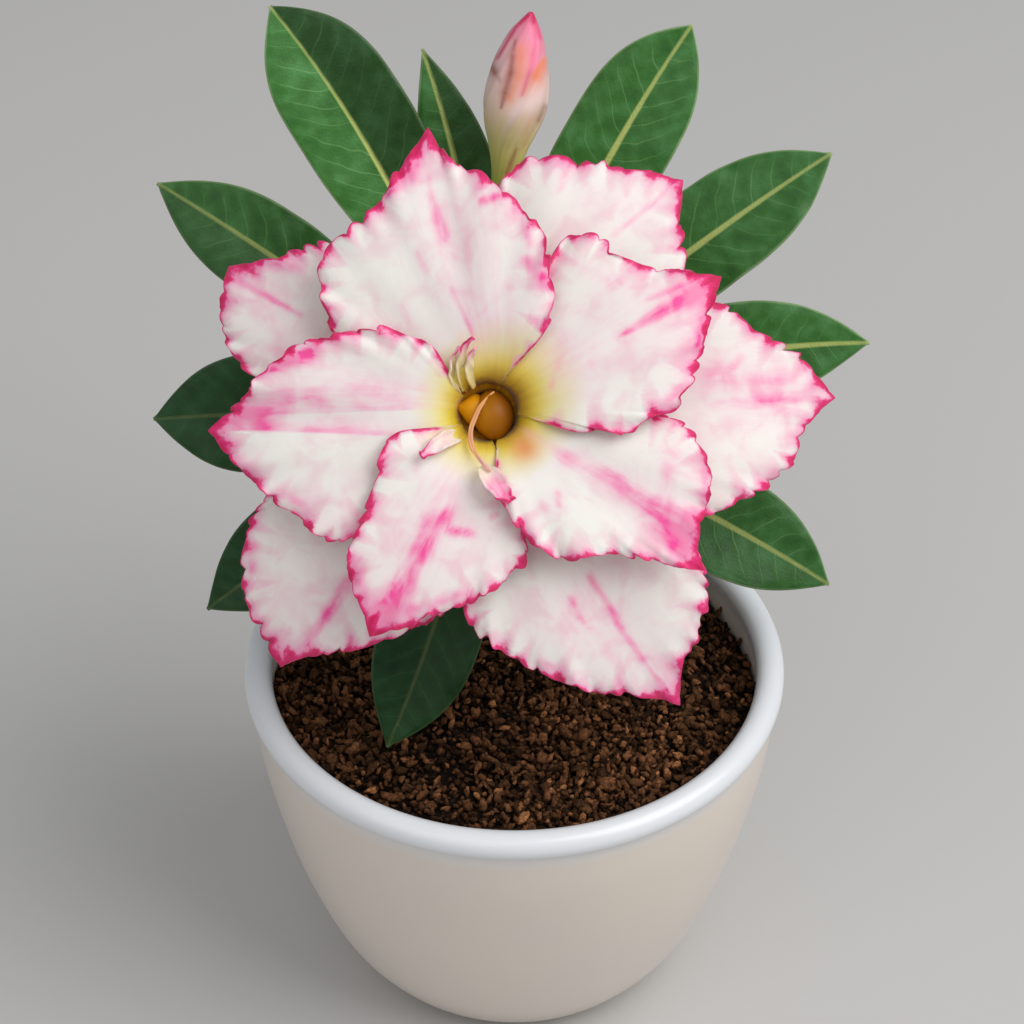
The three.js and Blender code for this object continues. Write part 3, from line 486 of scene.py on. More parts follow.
class LeafSettings(bpy.types.PropertyGroup):
    green: FloatVectorProperty(
        name="Leaf", description="Colour of the blade", subtype="COLOR", size=4, min=0, max=1,
        default=linear("#35672A"))
    midrib: FloatVectorProperty(
        name="Midrib", description="Colour of the midrib", subtype="COLOR", size=4, min=0, max=1,
        default=linear("#B4BE6C"))
    vein_spacing: FloatProperty(
        name="Vein spacing", description="Distance between side veins", subtype="DISTANCE", unit="LENGTH",
        default=VEIN_SPACING * MM, min=1 * MM, max=12 * MM)


class BloomSettings(bpy.types.PropertyGroup):
    petal: FloatVectorProperty(
        name="Petal", description="Colour of the petals' middle", subtype="COLOR", size=4, min=0, max=1,
        default=linear("#F4EFE6"))
    edge: FloatVectorProperty(
        name="Edge", description="Colour of the crimped edge", subtype="COLOR", size=4, min=0, max=1,
        default=linear("#EC2E7C"))
    ruffle: FloatProperty(
        name="Ruffle", description="Height of the crimps at the edge", subtype="DISTANCE", unit="LENGTH",
        default=0.68 * MM, min=0, max=2 * MM)
    thickness: FloatProperty(
        name="Thickness", description="Thickness of a petal", subtype="DISTANCE", unit="LENGTH",
        default=0.42 * MM, min=0.2 * MM, max=1 * MM)


class StageSettings(bpy.types.PropertyGroup):
    floor: FloatVectorProperty(
        name="Floor", description="Colour of the floor", subtype="COLOR", size=4, min=0, max=1,
        default=linear("#C9C6C2"))
    key: FloatProperty(name="Key light", description="Power of the soft light at the right", unit="POWER",
                       default=10.2, min=0, max=100)
    fill: FloatProperty(name="Fill light", description="Power of the soft light at the left", unit="POWER",
                        default=1.9, min=0, max=100)
    sky: FloatProperty(name="Surroundings", description="Strength of the even light from all round",
                       default=0.37, min=0, max=5)


class DesertRoseSettings(bpy.types.PropertyGroup):
    pot: PointerProperty(type=PotSettings)
    soil: PointerProperty(type=SoilSettings)
    stem: PointerProperty(type=StemSettings)
    leaf: PointerProperty(type=LeafSettings)
    bloom: PointerProperty(type=BloomSettings)
    stage: PointerProperty(type=StageSettings)


# ---------------------------------------------------------------- materials

def glazed_stoneware(look):
    """Stoneware under a satin white glaze: even and smooth, with soft highlights and a faint ripple."""
    material, tree = blank_material("glazed_stoneware")
    place = add(tree, "TexCoord").outputs["Object"]
    ripple = add(tree, "TexNoise", {"Vector": place, "Scale": 60.0, "Detail": 2.0}).outputs["Fac"]
    # Glaze pools and thins over some 15 mm, which shows as a slight warm and cool shift.
    pooled = add(tree, "TexNoise", {"Vector": place, "Scale": 35.0, "Detail": 1.0}).outputs["Fac"]
    patchy = add(tree, "Mix", {0: pooled, 6: look.glaze, 7: linear("#DFD5CB")},
                 data_type="RGBA").outputs[2]
    height = add(tree, "SeparateXYZ", {0: place}).outputs[2]
    # The rolled rim is painted bluer, as a painted reflection of the bluish surroundings.
    rolled = add(tree, "MapRange", {"Value": height, "From Min": (POT_HEIGHT - 8) * MM,
                                    "From Max": (POT_HEIGHT - 2.5) * MM},
                 interpolation_type="SMOOTHSTEP").outputs[0]
    glaze = add(tree, "Mix", {0: rolled, 6: patchy, 7: linear("#E6E8EB")}, data_type="RGBA").outputs[2]
    gloss = add(tree, "MapRange", {"Value": pooled, "To Min": 0.26, "To Max": 0.36}).outputs[0]
    bump = add(tree, "Bump", {"Height": ripple, "Strength": 0.12, "Distance": 0.4 * MM}).outputs[0]
    surface = add(tree, "BsdfPrincipled", {
        "Base Color": glaze, "Roughness": gloss, "IOR": 1.52, "Coat Weight": 0.25, "Coat Roughness": 0.12,
        "Coat IOR": 1.5, "Normal": bump}).outputs[0]
    add(tree, "OutputMaterial", {"Surface": surface})
    return material


def damp_compost(look):
    """Damp peat and coir compost: hollows painted nearly black as shade, dull crumbs, some of them drier and
    redder.
    """
    material, tree = blank_material("damp_compost")
    place = add(tree, "TexCoord").outputs["Object"]
    grade = add(tree, "Attribute", attribute_name="grade").outputs["Fac"]
    tone = add(tree, "ValToRGB", {0: grade}, stops=[
        (0.0, linear("#221308")), (0.35, look.colour), (0.7, linear("#664228")), (0.9, linear("#7E5234")),
        (1.0, linear("#96643E"))]).outputs[0]
    # Fibres and pores of a crumb are 0.2 to 0.4 mm.
    fibre = add(tree, "TexNoise", {"Vector": place, "Scale": 1900.0, "Detail": 5.0, "Roughness": 0.7,
                                   "Distortion": 0.8}).outputs["Fac"]
    shade = add(tree, "MapRange", {"Value": fibre, "From Min": 0.36, "From Max": 0.62,
                                   "To Min": 0.44, "To Max": 1.8}).outputs[0]
    # Lower down the colour is painted darker, nearly black a millimetre under the top: painted shade in the
    # gaps.
    height = add(tree, "SeparateXYZ", {0: place}).outputs[2]
    painted_depth_shade = add(tree, "MapRange", {"Value": height, "From Min": (SOIL_TOP - 1.3) * MM,
                                 "From Max": (SOIL_TOP + 0.5) * MM, "To Min": 0.07, "To Max": 1.3},
              interpolation_type="SMOOTHSTEP").outputs[0]
    shade = add(tree, "Math", {0: shade, 1: painted_depth_shade}, operation="MULTIPLY").outputs[0]
    colour = add(tree, "VectorMath", {0: tone, "Scale": shade}, operation="SCALE").outputs[0]
    bump = add(tree, "Bump", {"Height": fibre, "Strength": 1.0, "Distance": 0.5 * MM}).outputs[0]
    surface = add(tree, "BsdfPrincipled", {
        "Base Color": colour, "Roughness": 0.85, "IOR": 1.4, "Specular IOR Level": 0.25,
        "Normal": bump}).outputs[0]
    add(tree, "OutputMaterial", {"Surface": surface})
    return material


def caudex_bark(look):
    """Smooth succulent bark: grey-brown skin, fine cross wrinkles, pale scurf and a green flush above."""
    material, tree = blank_material("caudex_bark")
    place = add(tree, "TexCoord").outputs["Object"]
    stretched = add(tree, "VectorMath", {0: place, 1: (1.0, 1.0, 3.2)}, operation="MULTIPLY").outputs[0]
    patches = add(tree, "TexNoise", {"Vector": place, "Scale": 190.0, "Detail": 4.0,
                                     "Distortion": 0.4}).outputs["Fac"]
    # Wrinkles run round the stem about 1 mm apart.
    wrinkle = add(tree, "TexNoise", {"Vector": stretched, "Scale": 420.0, "Detail": 4.0}).outputs["Fac"]
    height = add(tree, "SeparateXYZ", {0: place}).outputs[2]
    young_bark_and_lit_leaf = add(tree, "MapRange", {"Value": height, "From Min": 78 * MM, "From Max": 104 * MM,
                                   "To Min": 0.0, "To Max": 0.7},
                interpolation_type="SMOOTHSTEP").outputs[0]
    skin = add(tree, "ValToRGB", {0: patches}, stops=[
        (0.3, linear("#5F5747")), (0.5, look.bark), (0.62, linear("#A39A86")),
        (0.72, linear("#B7B0A0"))]).outputs[0]
    flushed = add(tree, "Mix", {0: young_bark_and_lit_leaf, 6: skin, 7: linear("#71804A")}, data_type="RGBA").outputs[2]
    shade = add(tree, "MapRange", {"Value": wrinkle, "From Min": 0.35, "From Max": 0.65,
                                   "To Min": 0.72, "To Max": 1.1}).outputs[0]
    colour = add(tree, "VectorMath", {0: flushed, "Scale": shade}, operation="SCALE").outputs[0]
    bump = add(tree, "Bump", {"Height": wrinkle, "Strength": 0.6, "Distance": 0.5 * MM}).outputs[0]
    surface = add(tree, "BsdfPrincipled", {
        "Base Color": colour, "Roughness": 0.68, "IOR": 1.45, "Normal": bump}).outputs[0]
    add(tree, "OutputMaterial", {"Surface": surface})
    return material


def waxy_leaf(look):
    """Thick leaf with a wax skin: satin, darker between pale side veins that curve to the tip."""
    material, tree = blank_material("waxy_leaf")
    place = add(tree, "TexCoord").outputs["Object"]
    blade = add(tree, "SeparateXYZ", {0: add(tree, "Attribute", attribute_name="blade").outputs["Vector"]})
    along, across = blade.outputs[0], blade.outputs[1]
    under = add(tree, "Attribute", attribute_name="under").outputs["Fac"]
    rim = add(tree, "Attribute", attribute_name="rim").outputs["Fac"]
    drift = add(tree, "TexNoise", {"Vector": place, "Scale": 120.0, "Detail": 2.0}).outputs["Fac"]
    away = add(tree, "Math", {0: across}, operation="ABSOLUTE").outputs[0]
    # Side veins leave the midrib at some 55 degrees and bend towards the tip.
    bend = add(tree, "Math", {0: away, 1: VEIN_BEND, 2: VEIN_SLANT}, operation="MULTIPLY_ADD").outputs[0]
    bend = add(tree, "Math", {0: bend, 1: away}, operation="MULTIPLY").outputs[0]
    slant = add(tree, "Math", {0: along, 1: bend}, operation="SUBTRACT").outputs[0]
    right = add(tree, "Math", {0: across, 1: 0.0}, operation="GREATER_THAN").outputs[0]
    stagger = add(tree, "Math", {0: right, 1: 0.45 * look.vein_spacing / MM, 2: slant},
                  operation="MULTIPLY_ADD").outputs[0]
    bent = add(tree, "Math", {0: drift, 1: 5.0, 2: stagger}, operation="MULTIPLY_ADD").outputs[0]
    phase = add(tree, "Math", {0: bent, 1: look.vein_spacing / MM}, operation="DIVIDE").outputs[0]
    saw = add(tree, "Math", {0: phase, 1: 0.5}, operation="PINGPONG").outputs[0]
    vein = add(tree, "MapRange", {"Value": saw, "From Min": 0.0, "From Max": 0.07,
                                  "To Min": 1.0, "To Max": 0.0},
               interpolation_type="SMOOTHSTEP").outputs[0]
    faded = add(tree, "MapRange", {"Value": rim, "From Min": 0.3, "From Max": 3.5},
                interpolation_type="SMOOTHSTEP").outputs[0]
    patchy = add(tree, "MapRange", {"Value": drift, "From Min": 0.35, "From Max": 0.6,
                                    "To Min": 0.05, "To Max": 0.27}).outputs[0]
    vein = add(tree, "Math", {0: vein, 1: faded}, operation="MULTIPLY").outputs[0]
    vein_tint = add(tree, "Math", {0: vein, 1: patchy}, operation="MULTIPLY").outputs[0]
    # The midrib is 1.8 mm wide at the stalk and 0.5 mm near the tip, narrower on leaves painted in shade.
    tone = add(tree, "Attribute", attribute_name="tone").outputs["Fac"]
    plump = add(tree, "MapRange", {"Value": tone, "From Min": 0.35, "From Max": 1.0,
                                   "To Min": 0.55, "To Max": 1.1}).outputs[0]
    rib_width = add(tree, "MapRange", {"Value": along, "From Min": 5.0, "From Max": 62.0,
                                       "To Min": 0.78, "To Max": 0.2}).outputs[0]
    rib_width = add(tree, "Math", {0: rib_width, 1: plump}, operation="MULTIPLY").outputs[0]
    past = add(tree, "Math", {0: away, 1: rib_width}, operation="SUBTRACT").outputs[0]
    rib = add(tree, "MapRange", {"Value": past, "From Min": -0.15, "From Max": 0.28,
                                 "To Min": 1.0, "To Max": 0.0},
              interpolation_type="SMOOTHSTEP").outputs[0]
    # Cells and pores are far finer than this 0.35 mm grain, drawn coarse enough to break the gloss.
    grain = add(tree, "TexNoise", {"Vector": place, "Scale": 2400.0, "Detail": 2.0}).outputs["Fac"]
    mottle = add(tree, "TexNoise", {"Vector": place, "Scale": 330.0, "Detail": 4.0}).outputs["Fac"]
    # The blade is palest beside a side vein and darkest midway to the next.
    ridge = add(tree, "Math", {0: saw, 1: -0.22, 2: mottle}, operation="MULTIPLY_ADD").outputs[0]
    flesh = add(tree, "ValToRGB", {0: ridge}, stops=[
        (0.2, linear("#2B5824")), (0.42, look.green), (0.66, linear("#447840"))]).outputs[0]
    # Leaves painted dark as the bloom's shade are painted a colder green too, as shade under a bluish sky.
    young_bark_and_lit_leaf = add(tree, "MapRange", {"Value": tone, "From Min": 0.38, "From Max": 0.48}).outputs[0]
    cool = add(tree, "Mix", {0: young_bark_and_lit_leaf, 6: (0.8, 1.12, 1.22, 1.0), 7: (1.0, 1.0, 1.0, 1.0)},
               data_type="RGBA").outputs[2]
    cooled = add(tree, "VectorMath", {0: flesh, 1: cool}, operation="MULTIPLY").outputs[0]
    veined = add(tree, "Mix", {0: vein_tint, 6: cooled, 7: linear("#7FA768")}, data_type="RGBA").outputs[2]
    # On leaves painted in shade the midrib is painted greener and fainter, and every midrib greens towards
    # the tip.
    rib_out_of_shade = add(tree, "MapRange", {"Value": tone, "From Min": 0.35, "From Max": 1.0,
                                  "To Min": 0.38, "To Max": 1.0}).outputs[0]
    rib = add(tree, "Math", {0: rib, 1: rib_out_of_shade}, operation="MULTIPLY").outputs[0]
    greener = add(tree, "MapRange", {"Value": along, "From Min": 34.0, "From Max": 72.0,
                                     "To Min": 1.0, "To Max": 0.5}).outputs[0]
    rib = add(tree, "Math", {0: rib, 1: greener}, operation="MULTIPLY").outputs[0]
    ribbed = add(tree, "Mix", {0: rib, 6: veined, 7: look.midrib}, data_type="RGBA").outputs[2]
    # The outermost half millimetre is thin and lets light through.
    lip = add(tree, "MapRange", {"Value": rim, "From Min": 0.05, "From Max": 0.4,
                                 "To Min": 0.45, "To Max": 0.0}).outputs[0]
    edged = add(tree, "Mix", {0: lip, 6: ribbed, 7: linear("#A9BE8A")}, data_type="RGBA").outputs[2]
    pale = add(tree, "Math", {0: under, 1: 0.45}, operation="MULTIPLY").outputs[0]
    backed = add(tree, "Mix", {0: pale, 6: edged, 7: linear("#5C8A54")}, data_type="RGBA").outputs[2]
    # Each half's lightness is painted light and shade: darkest in the bloom's shade, lighter where light and
    # sheen fall.
    colour = add(tree, "VectorMath", {0: backed, "Scale": tone}, operation="SCALE").outputs[0]
    relief = add(tree, "Math", {0: vein, 1: -0.5, 2: grain}, operation="MULTIPLY_ADD").outputs[0]
    bump = add(tree, "Bump", {"Height": relief, "Strength": 0.25, "Distance": 0.25 * MM}).outputs[0]
    gloss = add(tree, "MapRange", {"Value": mottle, "To Min": 0.34, "To Max": 0.5}).outputs[0]
    surface = add(tree, "BsdfPrincipled", {
        "Base Color": colour, "Roughness": gloss, "IOR": 1.43, "Specular IOR Level": 0.32,
        "Normal": bump}).outputs[0]
    add(tree, "OutputMaterial", {"Surface": surface})
    return material


def sepal_skin(look):
    """Downy sepals and stalks: yellow-green, dull, flushed red towards the points."""
    material, tree = blank_material("sepal_skin")
    place = add(tree, "TexCoord").outputs["Object"]
    out = add(tree, "Attribute", attribute_name="out").outputs["Fac"]
    mottle = add(tree, "TexNoise", {"Vector": place, "Scale": 700.0, "Detail": 3.0}).outputs["Fac"]
    flush = add(tree, "Math", {0: out, 1: mottle}, operation="MULTIPLY").outputs[0]
    reddened = add(tree, "MapRange", {"Value": flush, "From Min": 0.2, "From Max": 0.55,
                                      "To Max": 0.75}).outputs[0]
    colour = add(tree, "Mix", {0: reddened, 6: look.calyx, 7: linear("#9A4A3C")},
                 data_type="RGBA").outputs[2]
    bump = add(tree, "Bump", {"Height": mottle, "Strength": 0.3, "Distance": 0.2 * MM}).outputs[0]
    surface = add(tree, "BsdfPrincipled", {
        "Base Color": colour, "Roughness": 0.62, "IOR": 1.42, "Normal": bump}).outputs[0]
    add(tree, "OutputMaterial", {"Surface": surface})
    return material


def petal_tissue(look):
    """Petal tissue: thin and moist, so it glows, cream to a crimson margin, green-gold at the throat."""
    material, tree = blank_material("petal_tissue")
    place = add(tree, "TexCoord").outputs["Object"]
    spread_at = add(tree, "Attribute", attribute_name="spread").outputs["Vector"]
    reach = add(tree, "SeparateXYZ", {0: spread_at}).outputs[1]
    blush = add(tree, "SeparateXYZ", {0: add(tree, "Attribute", attribute_name="blush").outputs["Vector"]})
    edge, streak, ember = blush.outputs[0], blush.outputs[1], blush.outputs[2]
    throat = add(tree, "Attribute", attribute_name="throat").outputs["Fac"]
    under = add(tree, "Attribute", attribute_name="under").outputs["Fac"]
    # Veins fan out from the throat some 1.5 mm apart, and colour gathers in streaks along them.
    veins_at = add(tree, "VectorMath", {0: spread_at, 1: (0.7, 0.1, 1.0)}, operation="MULTIPLY").outputs[0]
    veins = add(tree, "TexNoise", {"Vector": veins_at, "Scale": 1.0, "Detail": 4.0, "Roughness": 0.55,
                                   "Distortion": 0.25}).outputs["Fac"]
    blots = add(tree, "TexNoise", {"Vector": place, "Scale": 210.0, "Detail": 4.0,
                                   "Distortion": 0.5}).outputs["Fac"]
    fray = add(tree, "TexNoise", {"Vector": place, "Scale": 620.0, "Detail": 3.0,
                                  "Roughness": 0.6}).outputs["Fac"]
    off_vein = add(tree, "Math", {0: veins, 1: -0.5}, operation="ADD").outputs[0]
    off_fray = add(tree, "Math", {0: fray, 1: -0.5}, operation="ADD").outputs[0]
    # The throat's gold runs out along the veins.
    run_out = add(tree, "Math", {0: off_vein, 1: -0.2, 2: throat}, operation="MULTIPLY_ADD").outputs[0]
    # The ramp's dark brown end at the throat's edge is partly the throat's own colour and partly painted
    # shade.
    body = add(tree, "ValToRGB", {0: run_out}, stops=[
        (0.0, linear("#A46402")), (0.1, linear("#BE9604")), (0.2, linear("#D2B01C")),
        (0.32, linear("#E0C848")), (0.45, linear("#EAD982")), (0.58, linear("#EEE3AA")),
        (0.78, linear("#F2E9CC")), (1.0, look.petal)]).outputs[0]
    embered = add(tree, "Mix", {0: ember, 6: body, 7: linear("#E8935A")}, data_type="RGBA").outputs[2]
    # A faint flush comes and goes over the open part of each petal.
    open_part = add(tree, "MapRange", {"Value": reach, "From Min": 11.0, "From Max": 20.0},
                    interpolation_type="SMOOTHSTEP").outputs[0]
    soft = add(tree, "MapRange", {"Value": blots, "From Min": 0.4, "From Max": 0.72, "To Max": 0.42},
               interpolation_type="SMOOTHSTEP").outputs[0]
    soft = add(tree, "Math", {0: soft, 1: open_part}, operation="MULTIPLY").outputs[0]
    flushed = add(tree, "Mix", {0: soft, 6: embered, 7: linear("#ECB9C4")}, data_type="RGBA").outputs[2]
    # Streaks are torn by the veins and by blots.
    torn = add(tree, "MapRange", {"Value": veins, "From Min": 0.3, "From Max": 0.7,
                                  "To Min": 0.55, "To Max": 1.2}).outputs[0]
    patchy = add(tree, "MapRange", {"Value": blots, "From Min": 0.3, "From Max": 0.65,
                                    "To Min": 0.6, "To Max": 1.2}).outputs[0]
    drawn = add(tree, "Math", {0: streak, 1: torn}, operation="MULTIPLY").outputs[0]
    drawn = add(tree, "Math", {0: drawn, 1: patchy}, operation="MULTIPLY").outputs[0]
    wash = add(tree, "MapRange", {"Value": drawn, "From Min": 0.0, "From Max": 0.9,
                                  "To Max": 0.95}).outputs[0]
    deep = add(tree, "ValToRGB", {0: drawn}, stops=[
        (0.1, linear("#FAB8D4")), (0.5, linear("#FF78B6")), (1.0, linear("#FF3E9A"))]).outputs[0]
    streaked = add(tree, "Mix", {0: wash, 6: flushed, 7: deep}, data_type="RGBA").outputs[2]
    # The edge is crimson, and its ragged inner side pales to pink.
    frayed = add(tree, "Math", {0: off_fray, 1: 1.6, 2: edge}, operation="MULTIPLY_ADD").outputs[0]
    frayed = add(tree, "Math", {0: off_vein, 1: -2.2, 2: frayed}, operation="MULTIPLY_ADD").outputs[0]
    line = add(tree, "MapRange", {"Value": frayed, "From Min": 0.4, "From Max": 1.9,
                                  "To Min": 0.97, "To Max": 0.0},
               interpolation_type="SMOOTHSTEP").outputs[0]
    hue = add(tree, "ValToRGB", {0: frayed}, stops=[
        (0.0, linear("#CA1054")), (0.6, look.edge), (1.2, linear("#F88CB8"))]).outputs[0]
    # Round it the tissue is flushed for another couple of millimetres.
    halo = add(tree, "MapRange", {"Value": frayed, "From Min": 0.9, "From Max": 5.0,
                                  "To Min": 0.6, "To Max": 0.0},
               interpolation_type="SMOOTHSTEP").outputs[0]
    haloed = add(tree, "Mix", {0: halo, 6: streaked, 7: linear("#F2AEC4")}, data_type="RGBA").outputs[2]
    edged = add(tree, "Mix", {0: line, 6: haloed, 7: hue}, data_type="RGBA").outputs[2]
    back = add(tree, "Math", {0: under, 1: 0.25}, operation="MULTIPLY").outputs[0]
    colour = add(tree, "Mix", {0: back, 6: edged, 7: linear("#E3B3C2")}, data_type="RGBA").outputs[2]
    relief = add(tree, "Math", {0: open_part, 1: 0.12}, operation="MULTIPLY").outputs[0]
    bump = add(tree, "Bump", {"Height": veins, "Strength": relief, "Distance": 0.5 * MM}).outputs[0]
    surface = add(tree, "BsdfPrincipled", {
        "Base Color": colour, "Roughness": 0.55, "IOR": 1.38, "Specular IOR Level": 0.35,
        "Subsurface Weight": 0.25, "Subsurface Radius": (1.0, 0.8, 0.7), "Subsurface Scale": 1.2 * MM,
        "Sheen Weight": 0.08, "Sheen Roughness": 0.5, "Normal": bump}).outputs[0]
    add(tree, "OutputMaterial", {"Surface": surface})
    return material


def furled_petal():
    """Outside of furled petals: silky, rose-white with brown seams, partly painted shade, magenta point,
    yellow-green foot.
    """
    material, tree = blank_material("furled_petal")
    place = add(tree, "TexCoord").outputs["Object"]
    furl_at = add(tree, "Attribute", attribute_name="furl").outputs["Vector"]
    furl = add(tree, "SeparateXYZ", {0: furl_at})
    seam, along = furl.outputs[0], furl.outputs[1]
    warm_at = add(tree, "Attribute", attribute_name="warm").outputs["Vector"]
    crimson, orange, brown = add(tree, "SeparateXYZ", {0: warm_at}).outputs
    pink_and_highlight_at = add(tree, "Attribute", attribute_name="soft").outputs["Vector"]
    pink, pale, _ = add(tree, "SeparateXYZ", {0: pink_and_highlight_at}).outputs
    drawn_at = add(tree, "VectorMath", {0: furl_at, 1: (2.2, 1.3, 1.0)}, operation="MULTIPLY").outputs[0]
    drawn = add(tree, "TexNoise", {"Vector": drawn_at, "Scale": 2.2, "Detail": 4.0,
                                   "Distortion": 0.5}).outputs["Fac"]
    blots = add(tree, "TexNoise", {"Vector": place, "Scale": 300.0, "Detail": 4.0,
                                   "Distortion": 0.5}).outputs["Fac"]
    off = add(tree, "Math", {0: drawn, 1: -0.5}, operation="ADD").outputs[0]
    shifted = add(tree, "Math", {0: off, 1: 0.16, 2: along}, operation="MULTIPLY_ADD").outputs[0]
    colour = add(tree, "ValToRGB", {0: shifted}, stops=[
        (0.36, linear("#A6B046")), (0.46, linear("#C8C068")), (0.55, linear("#D8CA8A")),
        (0.62, linear("#E2C8A8")), (0.7, linear("#E8CCC0")), (0.84, linear("#E8B4B8")),
        (0.97, linear("#E8809E"))]).outputs[0]
    ragged = add(tree, "MapRange", {"Value": blots, "From Min": 0.3, "From Max": 0.7,
                                    "To Min": 0.75, "To Max": 1.1}).outputs[0]
    # The pale share is partly painted highlight, where the bud's edges catch the light.
    for strength, tint in ((pale, "#FCE0DC"), (pink, "#F4789E"), (orange, "#F68E64"), (brown, "#984C3C"),
                           (crimson, "#CC1C54")):
        share = add(tree, "Math", {0: strength, 1: ragged},
                    operation="MULTIPLY", use_clamp=True).outputs[0]
        colour = add(tree, "Mix", {0: share, 6: colour, 7: linear(tint)}, data_type="RGBA").outputs[2]
    # Each lap shades the next along its seam, from the belly up.
    dark = add(tree, "MapRange", {"Value": seam, "From Min": 0.0, "From Max": 0.1,
                                  "To Min": 0.1, "To Max": 0.0},
               interpolation_type="SMOOTHSTEP").outputs[0]
    lit = add(tree, "MapRange", {"Value": along, "From Min": 0.5, "From Max": 0.68},
              interpolation_type="SMOOTHSTEP").outputs[0]
    dark = add(tree, "Math", {0: dark, 1: lit}, operation="MULTIPLY").outputs[0]
    seamed = add(tree, "Mix", {0: dark, 6: colour, 7: linear("#A0544C")}, data_type="RGBA").outputs[2]
    bump = add(tree, "Bump", {"Height": drawn, "Strength": 0.25, "Distance": 0.4 * MM}).outputs[0]
    surface = add(tree, "BsdfPrincipled", {
        "Base Color": seamed, "Roughness": 0.42, "IOR": 1.4, "Subsurface Weight": 0.1,
        "Subsurface Radius": (0.8, 0.5, 0.4), "Subsurface Scale": 0.8 * MM, "Sheen Weight": 0.1,
        "Normal": bump}).outputs[0]
    add(tree, "OutputMaterial", {"Surface": surface})
    return material


def anther_wax():
    """Ripe anthers: smooth amber wax that lets light in a little, painted browner as shade where they turn
    away.
    """
    material, tree = blank_material("anther_wax")
    place = add(tree, "TexCoord").outputs["Object"]
    painted_anther_light = add(tree, "Attribute", attribute_name="painted_anther_light").outputs["Fac"]
    grain = add(tree, "TexNoise", {"Vector": place, "Scale": 1500.0, "Detail": 2.0}).outputs["Fac"]
    tone = add(tree, "ValToRGB", {0: painted_anther_light}, stops=[
        (0.0, linear("#341A02")), (0.35, linear("#723E00")), (0.7, linear("#A26202")),
        (1.0, linear("#D69206"))]).outputs[0]
    bump = add(tree, "Bump", {"Height": grain, "Strength": 0.15, "Distance": 0.1 * MM}).outputs[0]
    surface = add(tree, "BsdfPrincipled", {
        "Base Color": tone, "Roughness": 0.46, "IOR": 1.4, "Specular IOR Level": 0.3,
        "Subsurface Weight": 0.2, "Subsurface Radius": (1.0, 0.5, 0.1), "Subsurface Scale": 1.0 * MM,
        "Normal": bump}).outputs[0]
    add(tree, "OutputMaterial", {"Surface": surface})
    return material


def matt_paper(look):
    """Matt backdrop paper: flat and pale, with a faint tooth."""
    material, tree = blank_material("matt_paper")
    place = add(tree, "TexCoord").outputs["Object"]
    tooth = add(tree, "TexNoise", {"Vector": place, "Scale": 900.0, "Detail": 3.0}).outputs["Fac"]
    cloud = add(tree, "TexNoise", {"Vector": place, "Scale": 3.0, "Detail": 1.0}).outputs["Fac"]
    colour = add(tree, "Mix", {0: cloud, 6: look.floor, 7: linear("#C2C1C0")}, data_type="RGBA").outputs[2]
    bump = add(tree, "Bump", {"Height": tooth, "Strength": 0.05, "Distance": 0.2 * MM}).outputs[0]
    surface = add(tree, "BsdfPrincipled", {
        "Base Color": colour, "Roughness": 0.8, "Normal": bump}).outputs[0]
    add(tree, "OutputMaterial", {"Surface": surface})
    return material


# ---------------------------------------------------------------- pot and soil

def inside_wall():
    """The wall's inside, (radius, height), from the rim down to the floor."""
    belly = spaced(POT_BELLY, 40)
    wall = [(r - WALL, z) for r, z in belly if z > 2 * FLOOR]
    return wall[::-1] + [(FLOOR_RADIUS + 3, FLOOR + 2.2), (FLOOR_RADIUS, FLOOR)]


def inside_radius(height):
    wall = np.array(inside_wall()[::-1])
    return np.interp(height, wall[:, 1], wall[:, 0])


def build_pot(look):
    bead = [(RIM_RADIUS - BEAD + BEAD * math.cos(a), POT_HEIGHT - BEAD + BEAD * math.sin(a))
            for a in np.radians(np.linspace(-55, 185, 25))]
    foot = [(BASE_RADIUS - 0.4, 0), (BASE_RADIUS, 0)]
    profile = [(0, 0), *foot, *map(tuple, spaced(POT_BELLY, 40)), *bead, *inside_wall(), (0, FLOOR)]
    points, faces = turned(profile, look.sides)
    make_piece("glazed_pot", points, faces, glazed_stoneware(look), ["pot"])


